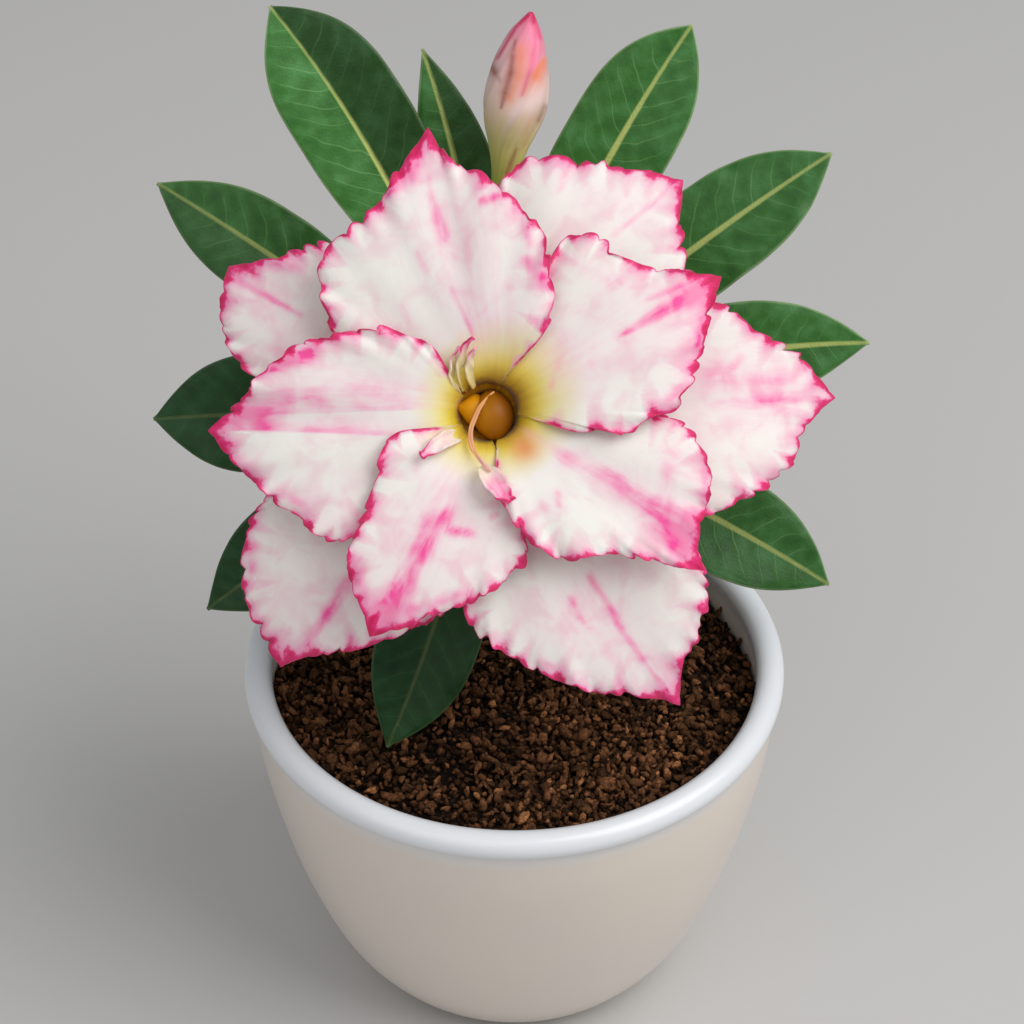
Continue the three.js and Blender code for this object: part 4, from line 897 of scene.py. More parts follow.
def crumb_cloud(look, draw):
    """Crumbs in two loose layers: an icosphere each, stretched, turned and dented at random."""
    form = bmesh.new()
    bmesh.ops.create_icosphere(form, subdivisions=2, radius=1.0)
    ball = np.array([v.co for v in form.verts])
    ball_faces = np.array([[v.index for v in f.verts] for f in form.faces])
    form.free()
    step = look.spacing / MM
    size = look.crumb / MM
    reach = inside_radius(SOIL_TOP) - 0.2
    count = int(2 * reach / step) + 1
    points, faces, grades = [], [], []
    for layer in (0, 1):
        for i in range(count):
            for j in range(count):
                x = -reach + step * (i + 0.5 * (j % 2) + 0.5 * layer) + draw.normal(0, 0.3)
                y = -reach + step * 0.9 * (j + 0.5 * layer) * 1.1 + draw.normal(0, 0.3)
                scale = size * math.exp(draw.normal(0, 0.28))
                if math.hypot(x, y) > reach - 0.75 * scale:
                    continue
                # The bark is slimmer here than at its widest, and crumbs lie right up to it.
                if math.hypot(x - CAUDEX_AT[0], y - CAUDEX_AT[1]) < CAUDEX_RADIUS - 1.4:
                    continue
                axes = np.array([draw.uniform(0.8, 1.9), draw.uniform(0.5, 1.1), draw.uniform(0.45, 1)])
                axes = scale * axes
                turn, _ = np.linalg.qr(draw.normal(size=(3, 3)))
                dent = 1 + 0.26 * np.sin(ball @ draw.normal(0, 2.6, 3) + draw.uniform(0, 6.3))
                dent = dent + 0.2 * np.sin(ball @ draw.normal(0, 5, 3) + draw.uniform(0, 6.3))
                dent = dent + draw.normal(0, 0.06, len(ball))
                z = SOIL_TOP - 1.1 + 1.5 * layer * draw.uniform(-0.2, 1.0) + 0.35 * math.sin(x / 9)
                points.append((ball * dent[:, None] * axes) @ turn.T + (x, y, z))
                flip = ball_faces[:, ::-1] if np.linalg.det(turn) < 0 else ball_faces
                faces.append(flip + len(faces) * len(ball))
                grades.append(np.full(len(ball), np.clip(draw.normal(0.45, 0.24) + 0.1 * layer, 0, 1)))
    return np.vstack(points), np.vstack(faces), np.concatenate(grades)


def build_soil(look):
    draw = np.random.default_rng(11)
    compost = damp_compost(look)
    clear = 0.35
    bed_top = SOIL_TOP - 1.1
    wall = [(r - clear, max(z, FLOOR + GAP)) for r, z in inside_wall() if z < SOIL_TOP - 2][::-1]
    brim = inside_radius(SOIL_TOP - 1) - clear
    top = [(brim, SOIL_TOP - 1.6)] + [(brim * k / 30, bed_top) for k in range(29, 0, -1)]
    points, faces = turned([(0, FLOOR + GAP), *wall, *top, (0, bed_top)], 96)
    lumpy = points[:, 2] > SOIL_TOP - 1.3
    points[lumpy, 2] += draw.normal(0, 0.25, lumpy.sum())
    marks = {"grade": np.full(len(points), 0.12)}
    make_piece("soil_bed", points, faces, compost, ["soil"], marks)
    points, faces, grades = crumb_cloud(look, draw)
    make_piece("soil_crumbs", points, faces, compost, ["soil"], {"grade": grades})


# ---------------------------------------------------------------- caudex, stalks and leaves

def build_caudex(look):
    x, y = CAUDEX_AT
    line = spaced([
        (x, y, SOIL_TOP - CAUDEX_DEPTH), (x, y, SOIL_TOP), (x - 1, y, SOIL_TOP + 9),
        (x - 6, y - 0.5, SOIL_TOP + 21), CROWN + (3, -1, -13), CROWN + (0.3, -0.3, -5),
        CROWN + (0, 0, 4.5)], 150)
    u = np.linspace(0, 1, 151)[:, None]
    angle = np.linspace(0, 2 * np.pi, 72, endpoint=False)[None, :]
    share = [0, 0.1, 0.2, 0.3, 0.4, 0.5, 0.62, 0.78, 0.9, 0.955, 0.985, 1]
    radius = [7, 9.4, 11, CAUDEX_RADIUS, 9.8, 6.7, 4.9, 4.2, KNOB - 0.1, KNOB - 0.2, 2.8, 0.4]
    lumps = 1 - 0.05 * (1 - u) * (1 + np.sin(3 * angle + 5 * u) * np.cos(2 * angle - 9 * u))
    # Fine folds round the stem and the scars of old leaves, set on a spiral.
    folds = 0.006 * np.sin(160 * u + 1.3 * np.sin(2 * angle)) * smooth((u - 0.25) / 0.2)
    scars = np.zeros_like(lumps)
    for k in range(11):
        at, turn = 0.5 + 0.037 * k, 2.4 * k
        apart = np.angle(np.exp(1j * (angle - turn)))
        # Each scar is about 2.6 mm high and 3.8 mm wide, sunken inside a raised rim.
        ring = np.hypot((u - at) * 70 / 1.3, apart * KNOB / 1.9)
        scars += 0.09 * np.exp(-((ring - 0.8) / 0.35) ** 2) - 0.05 * np.exp(-(ring / 0.5) ** 2)
    points, faces = swept(line, np.interp(u, share, radius) * (lumps + folds + scars))
    make_piece("caudex_and_stem", points, faces, caudex_bark(look), ["caudex"])


def leaf_direction(angle, lift):
    a, b = math.radians(angle), math.radians(lift)
    return np.array([math.cos(a) * math.cos(b), math.sin(a) * math.cos(b), math.sin(b)])


def leaf_half_width(u, leaf):
    full = leaf["width"] / 2
    rise = np.clip((u - 0.1) / (leaf["widest"] - 0.1), 0, 1)
    wide = PETIOLE + (full - PETIOLE) * np.sin(np.pi / 2 * rise) ** 1.25
    fall = np.clip((u - leaf["widest"]) / (1 - leaf["widest"]), 0, 1)
    narrow = full * np.cos(np.pi / 2 * fall ** leaf["blunt"])
    return np.where(u < leaf["widest"], wide, np.maximum(0.12, narrow))


def build_leaf(k, leaf, material):
    draw = np.random.default_rng(300 + k)
    base = leaf_direction(leaf["angle"] - leaf["bow"], 0) * math.sqrt(SEAT ** 2 - leaf["root"] ** 2)
    base[2] = leaf["root"]
    tip = leaf_direction(leaf["angle"], leaf["lift"]) * leaf["reach"]
    middle = base + (tip - base) * 0.55 + leaf_direction(leaf["angle"] - 90, 0) * leaf["bow"] * 0.6
    middle[2] += LEAF_ARCH
    rows, columns = 96, 33
    u = (1 - (1 - np.linspace(0, 1, rows)) ** 1.25)[:, None]
    spine = (1 - u) ** 2 * base + 2 * u * (1 - u) * middle + u ** 2 * tip
    tangent = unit(np.gradient(spine, axis=0))
    side = unit(np.cross(tangent, (0, 0, 1.0)))
    normal = np.cross(side, tangent)
    roll = math.radians(leaf["roll"])
    cos, sin = math.cos(roll), math.sin(roll)
    side, normal = side * cos + normal * sin, normal * cos - side * sin
    half = leaf_half_width(u, leaf)
    v = np.linspace(-1, 1, columns)[None, :]
    v = np.sign(v) * np.abs(v) ** 1.2
    across = v * half
    run = u * leaf["reach"]
    fold = np.sqrt(across ** 2 + 0.5) * math.tan(math.radians(LEAF_FOLD))
    edge_wave = 0.5 * np.sin(9 * u + 2 * np.sign(v)) + 0.22 * waves(run + 3 * np.sign(v), (7, 11), 40 + k)
    ripple = edge_wave * np.abs(v) ** 3 * np.minimum(1, half / 4)
    # The blade swells a little between its side veins.
    vein_run = run - (VEIN_SLANT + VEIN_BEND * np.abs(across)) * np.abs(across)
    phase = (vein_run + np.where(v > 0, VEIN_STAGGER, 0)) / VEIN_SPACING
    quilt = 0.07 * np.abs(np.sin(np.pi * phase)) * smooth((1 - np.abs(v)) / 0.3) * smooth(u / 0.2)
    rise = fold + ripple + quilt
    grid = spine[:, None, :] + side[:, None, :] * across[..., None] + normal[:, None, :] * rise[..., None]
    body = np.where(u < 0.14, 0.7 - 0.4 * smooth(u / 0.14), 0.26) * np.ones_like(across)
    keel = 0.75 * np.exp(-(across / (0.5 + 0.35 * (1 - u))) ** 2) * (1 - u) ** 0.6 * smooth(u / 0.1)
    thin = 0.35 + 0.65 * smooth((1 - np.abs(v)) / 0.25)
    points, faces = closed_sheet(grid, body * thin, body * thin + keel)
    rim = half * (1 - np.abs(v)) + 0 * across
    blade = np.stack([run + 0 * across, across, np.full_like(across, 5.0 * k + draw.uniform())], -1)
    blade = blade.reshape(-1, 3)
    sides = np.repeat([0.0, 1.0], len(blade))
    # Each half's lightness is painted light and shade, blended across the midrib.
    left, right = leaf["tone"]
    tone = left + (right - left) * smooth(0.5 + across / 0.8)
    marks = {"blade": np.vstack([blade, blade]), "under": sides, "rim": np.tile(rim.ravel(), 2),
             "tone": np.tile(tone.ravel(), 2)}
    number = f"{k + 1:02d}"
    make_piece("leaf_blade_" + number, from_crown(points), faces, material,
               ["leaf_" + number], marks)


def calyx(stalk, tube_radius, spread, sepal_length):
    """Five sepals and the stalk below them, as one mesh of closed shells."""
    length = np.linalg.norm(np.diff(stalk, axis=0), axis=1).sum()
    u = np.linspace(0, 1, len(stalk))
    radius = 1.25 + (tube_radius - 1.35) * smooth((u * length - (length - 2.6)) / 1.6)
    points, faces = swept(stalk, radius[:, None] * np.ones((1, 28)))
    out = np.zeros(len(points))
    end = stalk[-1]
    way = unit(stalk[-1] - stalk[-2])
    first = unit(np.cross(way, (1.0, 0.2, 0)))
    second = np.cross(way, first)
    t = np.linspace(0, 1, 22)[:, None]
    for k in range(5):
        turn = math.radians(72 * k + 20)
        outward = math.cos(turn) * first + math.sin(turn) * second
        # A sepal springs from inside the end of the stalk, bows out and runs on beside the tube.
        a = end + outward * (tube_radius - 0.9) - way * 1.6
        b = end + outward * (tube_radius + 1.4) - way * 0.9
        c = end + outward * (tube_radius + spread) + way * sepal_length
        spine = (1 - t) ** 2 * a + 2 * t * (1 - t) * b + t ** 2 * c
        tangent = unit(np.gradient(spine, axis=0))
        side = unit(np.cross(tangent, outward))
        normal = np.cross(side, tangent)
        broad = (0.4 + 0.24 * np.exp(-((t / 0.25) ** 2))) * tube_radius
        half = np.maximum(0.06, broad * np.cos(np.pi / 2 * np.clip((t - 0.25) / 0.75, 0, 1)) ** 0.9)
        v = np.linspace(-1, 1, 9)[None, :]
        bulge = -0.35 * (v ** 2) * half
        grid = spine[:, None] + side[:, None] * (v * half)[..., None] + normal[:, None] * bulge[..., None]
        more, more_faces = closed_sheet(grid, 0.28, 0.28)
        faces = faces + (more_faces + len(points)).tolist()
        points = np.vstack([points, more])
        out = np.r_[out, np.tile(np.broadcast_to(t, (22, 9)).ravel(), 2)]
    return points, faces, out


def build_calyxes(look):
    skin = sepal_skin(look)
    bloom_stalk = np.linspace((0, BLOOM_AT[1], KNOB - 1), (0, BLOOM_AT[1], BLOOM_FOOT), 30)
    points, faces, out = calyx(bloom_stalk, 3.7, 2.2, 7)
    make_piece("bloom_sepals", from_crown(points), faces, skin, ["bloom_calyx"], {"out": out})
    whole = spaced(BUD_LINE, 200)
    bud_stalk = np.vstack([[(0.6, 3.4, 1.3), (0.7, 4.1, 1.6)], whole[:int(200 * BUD_STARTS) + 1:2]])
    points, faces, out = calyx(bud_stalk, 2, 1.2, 5)
    make_piece("bud_sepals", from_crown(points), faces, skin, ["bud_calyx"], {"out": out})


def build_bud():
    steps = 400
    foot = BUD_STARTS + 0.006 * (1 - BUD_STARTS)
    line = spaced(BUD_LINE, steps)[int(steps * foot):]
    u = np.linspace(0, 1, len(line))[:, None]
    angle = np.linspace(0, 2 * np.pi, 150, endpoint=False)[None, :]
    shape = spaced(np.array(BUD_SHAPE) * (BUD_LENGTH, 1), 200) / (BUD_LENGTH, 1)
    radius = np.interp(u, shape[:, 0], shape[:, 1])
    # Each lobe rises over its width and steps down to the next. The tube below them has five flutes.
    share = ((angle / (2 * np.pi)) * BUD_LOBES + BUD_TWIST * u - 0.22) % 1
    open_part = smooth((u - 0.25) / 0.2)
    step = smooth((share - 0.78) / 0.22)
    furl = 1 - 0.07 * share * (1 - step) * open_part
    flute = 1 - 0.05 * (1 - open_part) * (0.5 + 0.5 * np.cos(5 * angle))
    points, faces = swept(line, radius * furl * flute)
    ends = np.array([[0.5, 0, 0], [0.5, 1, 0]])
    warm, soft = [np.stack([streak_strength(group, points[:, :2], 0) for group in groups], -1)
                  for groups in ((BUD_CRIMSON, BUD_ORANGE, BUD_BROWN), (BUD_PINK, BUD_PALE_AND_HIGHLIGHT, []))]
    lobe = np.floor((angle / (2 * np.pi)) * BUD_LOBES + BUD_TWIST * u) % BUD_LOBES
    seam = np.minimum(share, 1 - share)
    marks = np.stack([seam, u + 0 * seam, 3 * lobe + share], -1).reshape(-1, 3)
    make_piece("furled_bud", from_crown(points), faces, furled_petal(), ["bud"],
               {"furl": np.vstack([marks, ends]), "warm": warm, "soft": soft})


# ---------------------------------------------------------------- bloom

def petal_margin(petal, whorl, steps):
    """The petal's margin, from its anticlockwise root over the tip to its clockwise root."""
    def side(outline, root):
        knots = [on_circle(petal["aim"], petal["reach"])]
        knots += [on_circle(petal["aim"] + degrees, r) for degrees, r in outline]
        knots += [on_circle(petal["aim"] + root, whorl["throat"] + 1.5)]
        return spaced(knots, steps)
    return np.vstack([side(petal["left"], ROOT_SPAN)[::-1], side(petal["right"], -ROOT_SPAN)[1:]])


def petal_height(petal, whorl, point):
    """Height of a petal over the throat's mouth, degrees round from its aim, distance from the middle."""
    r = np.linalg.norm(point, axis=-1)
    turn = np.degrees(np.arctan2(point[..., 1], point[..., 0])) - petal["aim"]
    around = (turn + 180) % 360 - 180
    # A petal dips into the throat from 1.6 mm outside its mouth, droops from 24 mm out, and is creased
    # along its middle.
    cup = whorl["cup"] * (1 - np.exp(-(r - whorl["mouth"]) / SWELL))
    funnel = 2 * (np.maximum(0, whorl["mouth"] + 1.6 - r) / 2.7) ** 2
    droop = whorl["droop"] * (np.maximum(0, r - 24) / 25) ** 2
    lap = whorl["lap"] * (around / 45) * (0.12 + 0.88 * smooth((r - whorl["mouth"]) / 9))
    crease = 0.8 * np.exp(-((around / 7) ** 2)) * smooth((r - 14) / 16)
    return whorl["offset"] + cup - funnel - droop - lap - crease, around, r


def streak_strength(streaks, flat, pile=0.3):
    """How strongly the streaks colour each point: 0 to a little over 1. Where two cross, pile adds them."""
    total = np.zeros(flat.shape[:-1])
    for x0, y0, x1, y1, from_width, to_width, strength, *kept in streaks:
        start, way = np.array([x0, y0]), np.array([x1 - x0, y1 - y0])
        share = np.clip(((flat - start) @ way) / max(way @ way, 1e-9), 0, 1)
        away = np.linalg.norm(flat - start - share[..., None] * way, axis=-1)
        width = from_width + (to_width - from_width) * share
        core = np.exp(-((away / width) ** 2))
        haze = np.exp(-((away / (2.1 * width)) ** 2))
        drawn = strength * (0.66 * core + 0.34 * haze)
        for side in kept:
            over = (flat - start) @ np.array([-way[1], way[0]]) / np.linalg.norm(way)
            drawn = drawn * smooth(0.5 + side * over / 0.5)
        total = np.maximum(total, drawn) + pile * np.minimum(total, drawn)
    return total


def throat_share(x, y):
    """0 at the throat's dark edge, partly painted shade, to 1 where green and gold have faded, furthest out
    at the top right.
    """
    r = np.hypot(x, y)
    angle = np.degrees(np.arctan2(y, x))
    upper_right = np.exp(-((np.abs((angle - 38 + 180) % 360 - 180) / 62) ** 2))
    return (r - 3.6 - 0.6 * upper_right) / (8 + 4.2 * upper_right)


def frill(run, seed):
    """Crimps along an edge: restless in length and in height, from flat stretches to sharp knobs."""
    bent = run + 1.1 * waves(run, (11, 17), seed + 3)
    height = np.clip(0.65 + 0.6 * waves(run, (7, 12, 21), seed + 5), 0.12, 1.8)
    return height * waves(bent, (3.4, 4.8, 7.1), seed)


def scallops(run, seed):
    """Round bulges with sharp notches between them along an edge, 3 to 6 mm wide."""
    bent = run / 4.1 + 0.42 * waves(run, (11, 17, 29), seed + 2)
    height = np.clip(0.62 + 0.5 * waves(run, (9, 16, 25), seed + 4), 0.1, 1.3)
    return height * (1.7 * np.abs(np.sin(np.pi * bent)) ** 0.75 - 1.1)


def build_petal(name, petal, whorl, seed, look, material, stands_for):
    steps = 170
    rows = 52
    margin = petal_margin(petal, whorl, steps)
    count = len(margin)
    swing = np.linspace(1, -1, count)
    root = on_circle(petal["aim"] + swing * ROOT_SPAN, whorl["throat"])
    run = np.r_[0, np.cumsum(np.linalg.norm(np.diff(margin, axis=0), axis=1))]
    share = (1 - (1 - np.linspace(0, 1, rows)) ** 1.7)[:, None, None]
    flat = root[None] + (margin - root)[None] * share
    tip = on_circle(petal["aim"], petal["reach"])
    tip_away = np.linalg.norm(margin - tip, axis=1)
    # rim is each point's distance from the nearest bit of margin, beside says which bit that is, and
    # inward is its distance from its own row's end.
    edge = margin[4:-4]
    away = np.sqrt(((flat[:, :, None] - edge[None, None]) ** 2).sum(-1))
    rim, beside = away.min(-1), away.argmin(-1) + 4
    inward = np.linalg.norm(margin[None] - flat, axis=-1)
    held = smooth((np.linalg.norm(margin, axis=1) - whorl["mouth"] - 1) / 9)
    pointed = 0.3 + 0.7 * smooth(tip_away / 7)
    size = look.ruffle / MM
    crimp = size * frill(run, seed) * held * pointed
    teeth = size * (scallops(run, seed + 7) + 0.3 * frill(run, seed + 7)) * held * pointed
    lip = size * np.clip(frill(run, seed + 31), -0.6, 1.6) * held * pointed
    broad = size * 0.9 * waves(run, (5.3, 7.7, 11.9), seed + 50) * held * pointed
    outward = unit(margin - root)
    z, around, r = petal_height(petal, whorl, flat)
    flat = flat + outward[None] * (teeth[None] * np.exp(-((inward / 1.4) ** 2)))[..., None]
    # The margin arches and rolls over in places, and the whole petal heaves in soft folds.
    rolled = smooth((1.3 - inward) / 1.3)
    heave = 0.2 * waves(around, (19, 29, 41), seed + 90) * smooth((r - 10) / 14)
    z = z + heave + 0.55 * crimp[None] * np.exp(-inward / 1.3) + broad[None] * np.exp(-inward / 2.4)
    z = z + 0.5 * lip[None] * rolled ** 2 - 0.5 * held[None] * np.exp(-inward / 2.2)
    curl = 0.8 * lip ** 2 / (0.4 + np.abs(lip))
    flat = flat - outward[None] * (curl[None] * rolled ** 2)[..., None]
    grid = np.concatenate([flat, z[..., None]], -1)
    half = look.thickness / MM / 2 * (0.45 + 0.55 * smooth(rim / 1.5))
    points, faces = closed_sheet(grid, half, half)
    # The edge line is a hair to 2 mm wide and swells towards the tip.
    line = np.clip(0.66 + 0.66 * waves(run, (3.3, 5.3, 9.1), seed + 21), 0.16, 2.1)
    at_tip = 1.4 * petal.get("tip", 1) * np.exp(-((tip_away / 5) ** 2))
    line = (line + at_tip) * (0.2 + 0.8 * held)
    ratio = rim / line[beside] + 6 * (1 - smooth((r - whorl["mouth"] + 0.4) / 3))
    across = np.radians(around) * (10 + 0.5 * r)
    spread = np.stack([across, r, np.full_like(r, 7.7 * seed)], -1).reshape(-1, 3)
    ember = 0.9 * np.exp(-(np.hypot(flat[..., 0] - 5.6, flat[..., 1] + 5.6) / 2.3) ** 2)
    drawn = streak_strength(petal["streaks"], flat)
    # The edge's crimson spreads inwards where the strongest streaks run along it.
    ratio = ratio * (1 - 0.8 * np.clip(drawn - 1, 0, 1))
    blush = np.stack([ratio, drawn, ember], -1).reshape(-1, 3)
    inner = throat_share(flat[..., 0], flat[..., 1]).ravel()
    below = inner + np.maximum(0, 0.6 - inner) * smooth((r.ravel() - whorl["throat"] - 0.5) / 2)
    marks = {"spread": np.vstack([spread, spread]), "blush": np.vstack([blush, blush]),
             "throat": np.r_[inner, below], "under": np.repeat([0.0, 1.0], len(spread))}
    make_piece(name, from_bloom(points), faces, material, stands_for, marks)


def build_tube(name, whorl, seed, material, stands_for):
    """The corolla's tube: a flared, faintly pleated wall that the petals grow from."""
    middle = spaced(whorl["tube"], 60)
    wall = 0.5
    sides = 100
    outside = [(r + wall / 2, z - wall / 2) for r, z in middle][::-1]
    inside = [(r - wall / 2, z + wall / 2) for r, z in middle]
    if "lining" in whorl:
        inside = list(map(tuple, spaced(whorl["lining"], 60)))
    bottom = middle[-1, 1] - wall / 2
    profile = [(0, bottom), *outside, *inside, (0, inside[-1][1])]

    def pleat(angle, height):
        return 1 + 0.02 * np.cos(5 * angle) + 0.008 * np.cos(20 * angle)

    points, faces = turned(profile, sides, pleat)
    r = np.hypot(points[:, 0], points[:, 1])
    angle = np.arctan2(points[:, 1], points[:, 0])
    outer_side = np.zeros(len(points))
    outer_side[:sides * len(outside)] = 1.0
    # Outside, the tube is pale green-white. The inner tube's lining is painted as dark as the throat's edge:
    # painted shade deep in the tube.
    rise = (points[:, 2] - points[:, 2].min()) / np.ptp(points[:, 2])
    inner = np.where(outer_side > 0, 0.5 + 0.4 * rise, whorl["inside"])
    marks = {"spread": np.stack([angle * 10, r, np.full_like(r, 7.7 * seed)], -1),
             "blush": np.stack([0 * r + 9, 0 * r, 0 * r], -1), "throat": inner, "under": 0.6 * outer_side}
    make_piece(name, from_bloom(points), faces, material, stands_for, marks)


def build_tongues(material):
    """Small petal-like tongues that rise round the throat and curl at their pink tips."""
    for k, tongue in enumerate(TONGUES):
        spine = spaced(tongue["points"], 40)
        t = np.linspace(0, 1, 41)[:, None]
        tangent = unit(np.gradient(spine, axis=0))
        side = unit(np.cross(tangent, tongue["face"]))
        normal = np.cross(side, tangent)
        half = tongue["half"] * (0.45 + 0.55 * np.sin(np.pi * np.minimum(1, t * 1.12)) ** 0.8)
        v = np.linspace(-1, 1, 13)[None, :]
        hollow = 0.5 * v ** 2 * half * smooth(t / 0.25)
        crimp = 0.22 * tongue["half"] * np.sin(7 * np.pi * t + 2 * v + k) * np.abs(v)
        crimp = crimp * smooth((t - 0.3) / 0.3)
        curl = 0.8 * tongue["half"] * smooth((t - 0.72) / 0.28) ** 2
        rise = hollow + crimp + curl
        grid = spine[:, None] + side[:, None] * (v * half)[..., None] + normal[:, None] * rise[..., None]
        points, faces = closed_sheet(grid, 0.16, 0.16)
        length = np.linalg.norm(np.diff(spine, axis=0), axis=1).sum()
        inward = np.minimum((1 - np.abs(v)) * half, (1 - t) * length)
        ratio = 1.4 * (inward + 0.1) / (0.45 * tongue["edge"] * smooth((t - 0.6) / 0.35) + 0.02)
        r = np.hypot(grid[..., 0], grid[..., 1])
        spread = np.stack([3 * v + 0 * r, r + 8, 0 * r + 2.3 * k], -1).reshape(-1, 3)
        tip_only = 0.9 * tongue["edge"] * smooth((t - 0.6) / 0.4)
        flush = np.maximum(tongue.get("flush", 0) * smooth(t / 0.5), tip_only)
        blush = np.stack([ratio, flush + 0 * r, 0 * r + 0.8 * tongue["salmon"]], -1).reshape(-1, 3)
        inner = (tongue.get("fade", 0.42) + 0.4 * t + 0 * r).ravel()
        marks = {"spread": np.vstack([spread, spread]), "blush": np.vstack([blush, blush]),
                 "throat": np.r_[inner, inner], "under": np.repeat([0.0, 1.0], len(spread))}
        make_piece(f"throat_tongue_{k + 1}", from_bloom(points), faces, material,
                   ["corolla_inner"], marks)


def build_anthers():
    """Plump anthers pressed together on one column, with a slit between the two that show."""
    wax = anther_wax()
    foot = INNER["tube"][-1][1] + 0.4 + GAP
    column, column_faces = turned([(0, foot), (0.9, foot), (1.1, -12), (2.2, -5), (0, -4.6)], 32)
    parts = [(column, column_faces, np.full(len(column), 0.1))]

    def bulge(angle, height):
        return 1 + 0.02 * np.cos(4 * angle) * (1 - height ** 2)

    for size, at, tilt, beak in ANTHERS:
        profile = [(math.sin(a), -math.cos(a)) for a in np.linspace(0, math.pi, 33)]
        profile[0] = (0, -1)
        profile[-1] = (0, 1)
        ball, faces = turned(profile, 48, bulge)
        turn = math.radians(tilt)
        # A beak narrows towards the left.
        ball[:, 1] *= 1 - beak * smooth(-ball[:, 0])
        shape = ball * size
        x = shape[:, 0] * math.cos(turn) - shape[:, 1] * math.sin(turn)
        y = shape[:, 0] * math.sin(turn) + shape[:, 1] * math.cos(turn)
        placed = np.stack([x, y, shape[:, 2]], -1) + at
        # Painted light and shade: lighter on top, browner where each anther turns away.
        lit = 0.34 + 0.36 * ball[:, 2] - 0.34 * ball[:, 0] + 0.6 * beak
        parts.append((placed, faces, np.clip(lit, 0, 1)))
    points = np.vstack([p for p, _, _ in parts])
    faces, start = [], 0
    for p, f, _ in parts:
        faces += [[v + start for v in face] for face in f]
        start += len(p)
    painted_anther_light = np.concatenate([g for _, _, g in parts])
    make_piece("anther_cone", from_bloom(points), faces, wax, ["anthers"], {"painted_anther_light": painted_anther_light})


def build_bloom(look):
    tissue = petal_tissue(look)
    for whorl, word, seed in ((OUTER, "outer", 20), (INNER, "inner", 10)):
        stands_for = ["corolla_" + word]
        for k, petal in enumerate(whorl["petals"]):
            build_petal(f"{word}_petal_{k + 1}", petal, whorl, seed + k, look, tissue, stands_for)
        build_tube(f"{word}_tube", whorl, seed, tissue, stands_for)
    build_tongues(tissue)


# ---------------------------------------------------------------- stage

def build_stage(look):
    floor_mesh = bpy.data.meshes.new("floor")
    corners = [(x * FLOOR_REACH, y * FLOOR_REACH, 0) for x, y in ((-1, -1), (1, -1), (1, 1), (-1, 1))]
    floor_mesh.from_pydata(corners, [], [(0, 1, 2, 3)])
    floor_mesh.materials.append(matt_paper(look))
    floor = bpy.data.objects.new("floor", floor_mesh)
    bpy.context.scene.collection.objects.link(floor)

    for name, power, size, place in (("key_light", look.key, KEY_SIZE, KEY_AT),
                                     ("fill_light", look.fill, FILL_SIZE, FILL_AT)):
        light = bpy.data.lights.new(name, "AREA")
        light.energy = power
        light.size = size
        lamp = bpy.data.objects.new(name, light)
        lamp.location = place
        way = LIT_POINT - np.array(place)
        lamp.rotation_euler = (math.atan2(math.hypot(way[0], way[1]), -way[2]), 0,
                               math.atan2(way[1], way[0]) - math.pi / 2)
        bpy.context.scene.collection.objects.link(lamp)

    world = bpy.data.worlds.new("studio")
    world.use_nodes = True
    world.node_tree.nodes.clear()
    even = add(world.node_tree, "Background", {
        "Color": (0.93, 0.96, 1.0, 1.0), "Strength": look.sky}).outputs[0]
    add(world.node_tree, "OutputWorld", {"Surface": even})
    bpy.context.scene.world = world
    bpy.context.scene.view_settings.view_transform = "Standard"

    camera_data = bpy.data.cameras.new("camera")
    camera_data.sensor_width = SENSOR
    camera_data.lens = LENS
    camera = bpy.data.objects.new("camera", camera_data)
    camera.location = [distance * MM for distance in CAMERA_AT]
    camera.rotation_euler = (math.radians(90 - FACING), 0, 0)
    bpy.context.scene.collection.objects.link(camera)
    bpy.context.scene.camera = camera


# ---------------------------------------------------------------- operators

class DESERTROSE_OT_pot(bpy.types.Operator):
    """Build the glazed pot"""
    bl_idname = "desertrose.pot"
    bl_label = "Pot"

    def execute(self, context):
        build_pot(context.scene.desert_rose.pot)
        return {"FINISHED"}


class DESERTROSE_OT_soil(bpy.types.Operator):
    """Build the bed of compost and its crumbs"""
    bl_idname = "desertrose.soil"
    bl_label = "Soil"

    def execute(self, context):
        build_soil(context.scene.desert_rose.soil)
        return {"FINISHED"}


class DESERTROSE_OT_caudex(bpy.types.Operator):
    """Build the swollen caudex and the stem"""
    bl_idname = "desertrose.caudex"
    bl_label = "Caudex and stem"

    def execute(self, context):
        build_caudex(context.scene.desert_rose.stem)
        return {"FINISHED"}


class DESERTROSE_OT_leaves(bpy.types.Operator):
    """Build the ten leaves"""
    bl_idname = "desertrose.leaves"
    bl_label = "Leaves"

    def execute(self, context):
        material = waxy_leaf(context.scene.desert_rose.leaf)
        for k, leaf in enumerate(LEAVES):
            build_leaf(k, leaf, material)
        return {"FINISHED"}


class DESERTROSE_OT_calyxes(bpy.types.Operator):
    """Build the sepals and stalks of the bloom and the bud"""
    bl_idname = "desertrose.calyxes"
    bl_label = "Sepals and stalks"

    def execute(self, context):
        build_calyxes(context.scene.desert_rose.stem)
        return {"FINISHED"}


class DESERTROSE_OT_bud(bpy.types.Operator):
    """Build the furled bud"""
    bl_idname = "desertrose.bud"
    bl_label = "Bud"

    def execute(self, context):
        build_bud()
        return {"FINISHED"}


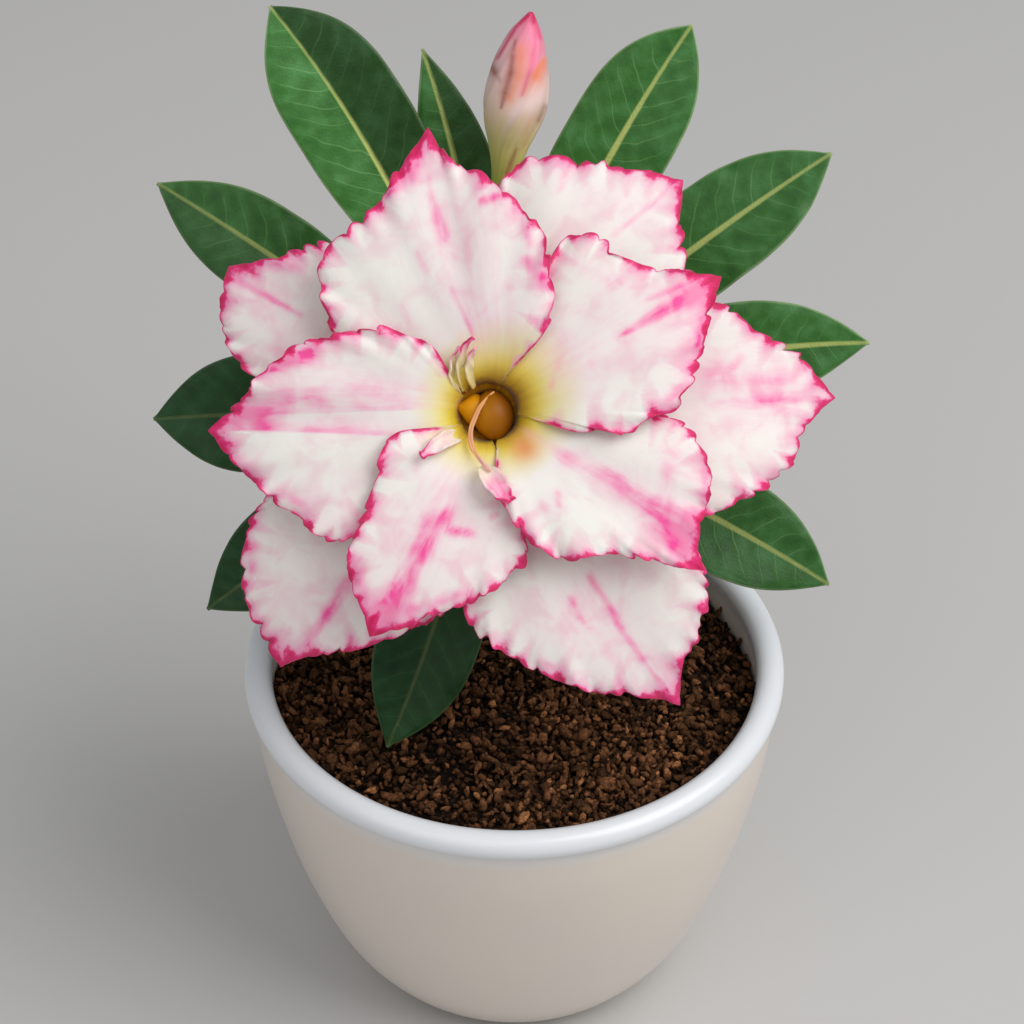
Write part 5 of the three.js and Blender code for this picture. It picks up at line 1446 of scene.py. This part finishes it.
class DESERTROSE_OT_bloom(bpy.types.Operator):
    """Build the two corollas of the double bloom"""
    bl_idname = "desertrose.bloom"
    bl_label = "Bloom"

    def execute(self, context):
        build_bloom(context.scene.desert_rose.bloom)
        return {"FINISHED"}


class DESERTROSE_OT_anthers(bpy.types.Operator):
    """Build the anthers in the throat"""
    bl_idname = "desertrose.anthers"
    bl_label = "Anthers"

    def execute(self, context):
        build_anthers()
        return {"FINISHED"}


class DESERTROSE_OT_stage(bpy.types.Operator):
    """Build the floor, the soft lights and the camera"""
    bl_idname = "desertrose.stage"
    bl_label = "Stage"

    def execute(self, context):
        build_stage(context.scene.desert_rose.stage)
        return {"FINISHED"}


class DESERTROSE_PT_panel(bpy.types.Panel):
    """Lists the settings and the pieces in the 3D view's sidebar"""
    bl_label = "Desert Rose"
    bl_idname = "DESERTROSE_PT_panel"
    bl_space_type = "VIEW_3D"
    bl_region_type = "UI"
    bl_category = "Desert Rose"

    def draw(self, context):
        settings = context.scene.desert_rose
        for group in ("pot", "soil", "stem", "leaf", "bloom", "stage"):
            box = self.layout.box()
            box.label(text=group.capitalize())
            values = getattr(settings, group)
            for name in values.__annotations__:
                box.prop(values, name)
        for operator in OPERATORS:
            self.layout.operator(operator.bl_idname)


OPERATORS = (
    DESERTROSE_OT_pot, DESERTROSE_OT_soil, DESERTROSE_OT_caudex, DESERTROSE_OT_leaves,
    DESERTROSE_OT_calyxes, DESERTROSE_OT_bud, DESERTROSE_OT_bloom, DESERTROSE_OT_anthers,
    DESERTROSE_OT_stage,
)
SETTINGS = (
    PotSettings, SoilSettings, StemSettings, LeafSettings, BloomSettings, StageSettings,
    DesertRoseSettings,
)


def register():
    for item in SETTINGS + OPERATORS + (DESERTROSE_PT_panel,):
        bpy.utils.register_class(item)
    bpy.types.Scene.desert_rose = PointerProperty(type=DesertRoseSettings)


def unregister():
    del bpy.types.Scene.desert_rose
    for item in reversed(SETTINGS + OPERATORS + (DESERTROSE_PT_panel,)):
        bpy.utils.unregister_class(item)


def main():
    register()
    for operator in OPERATORS:
        getattr(bpy.ops.desertrose, operator.bl_idname.split(".")[1])()


if __name__ == "__main__":
    main()
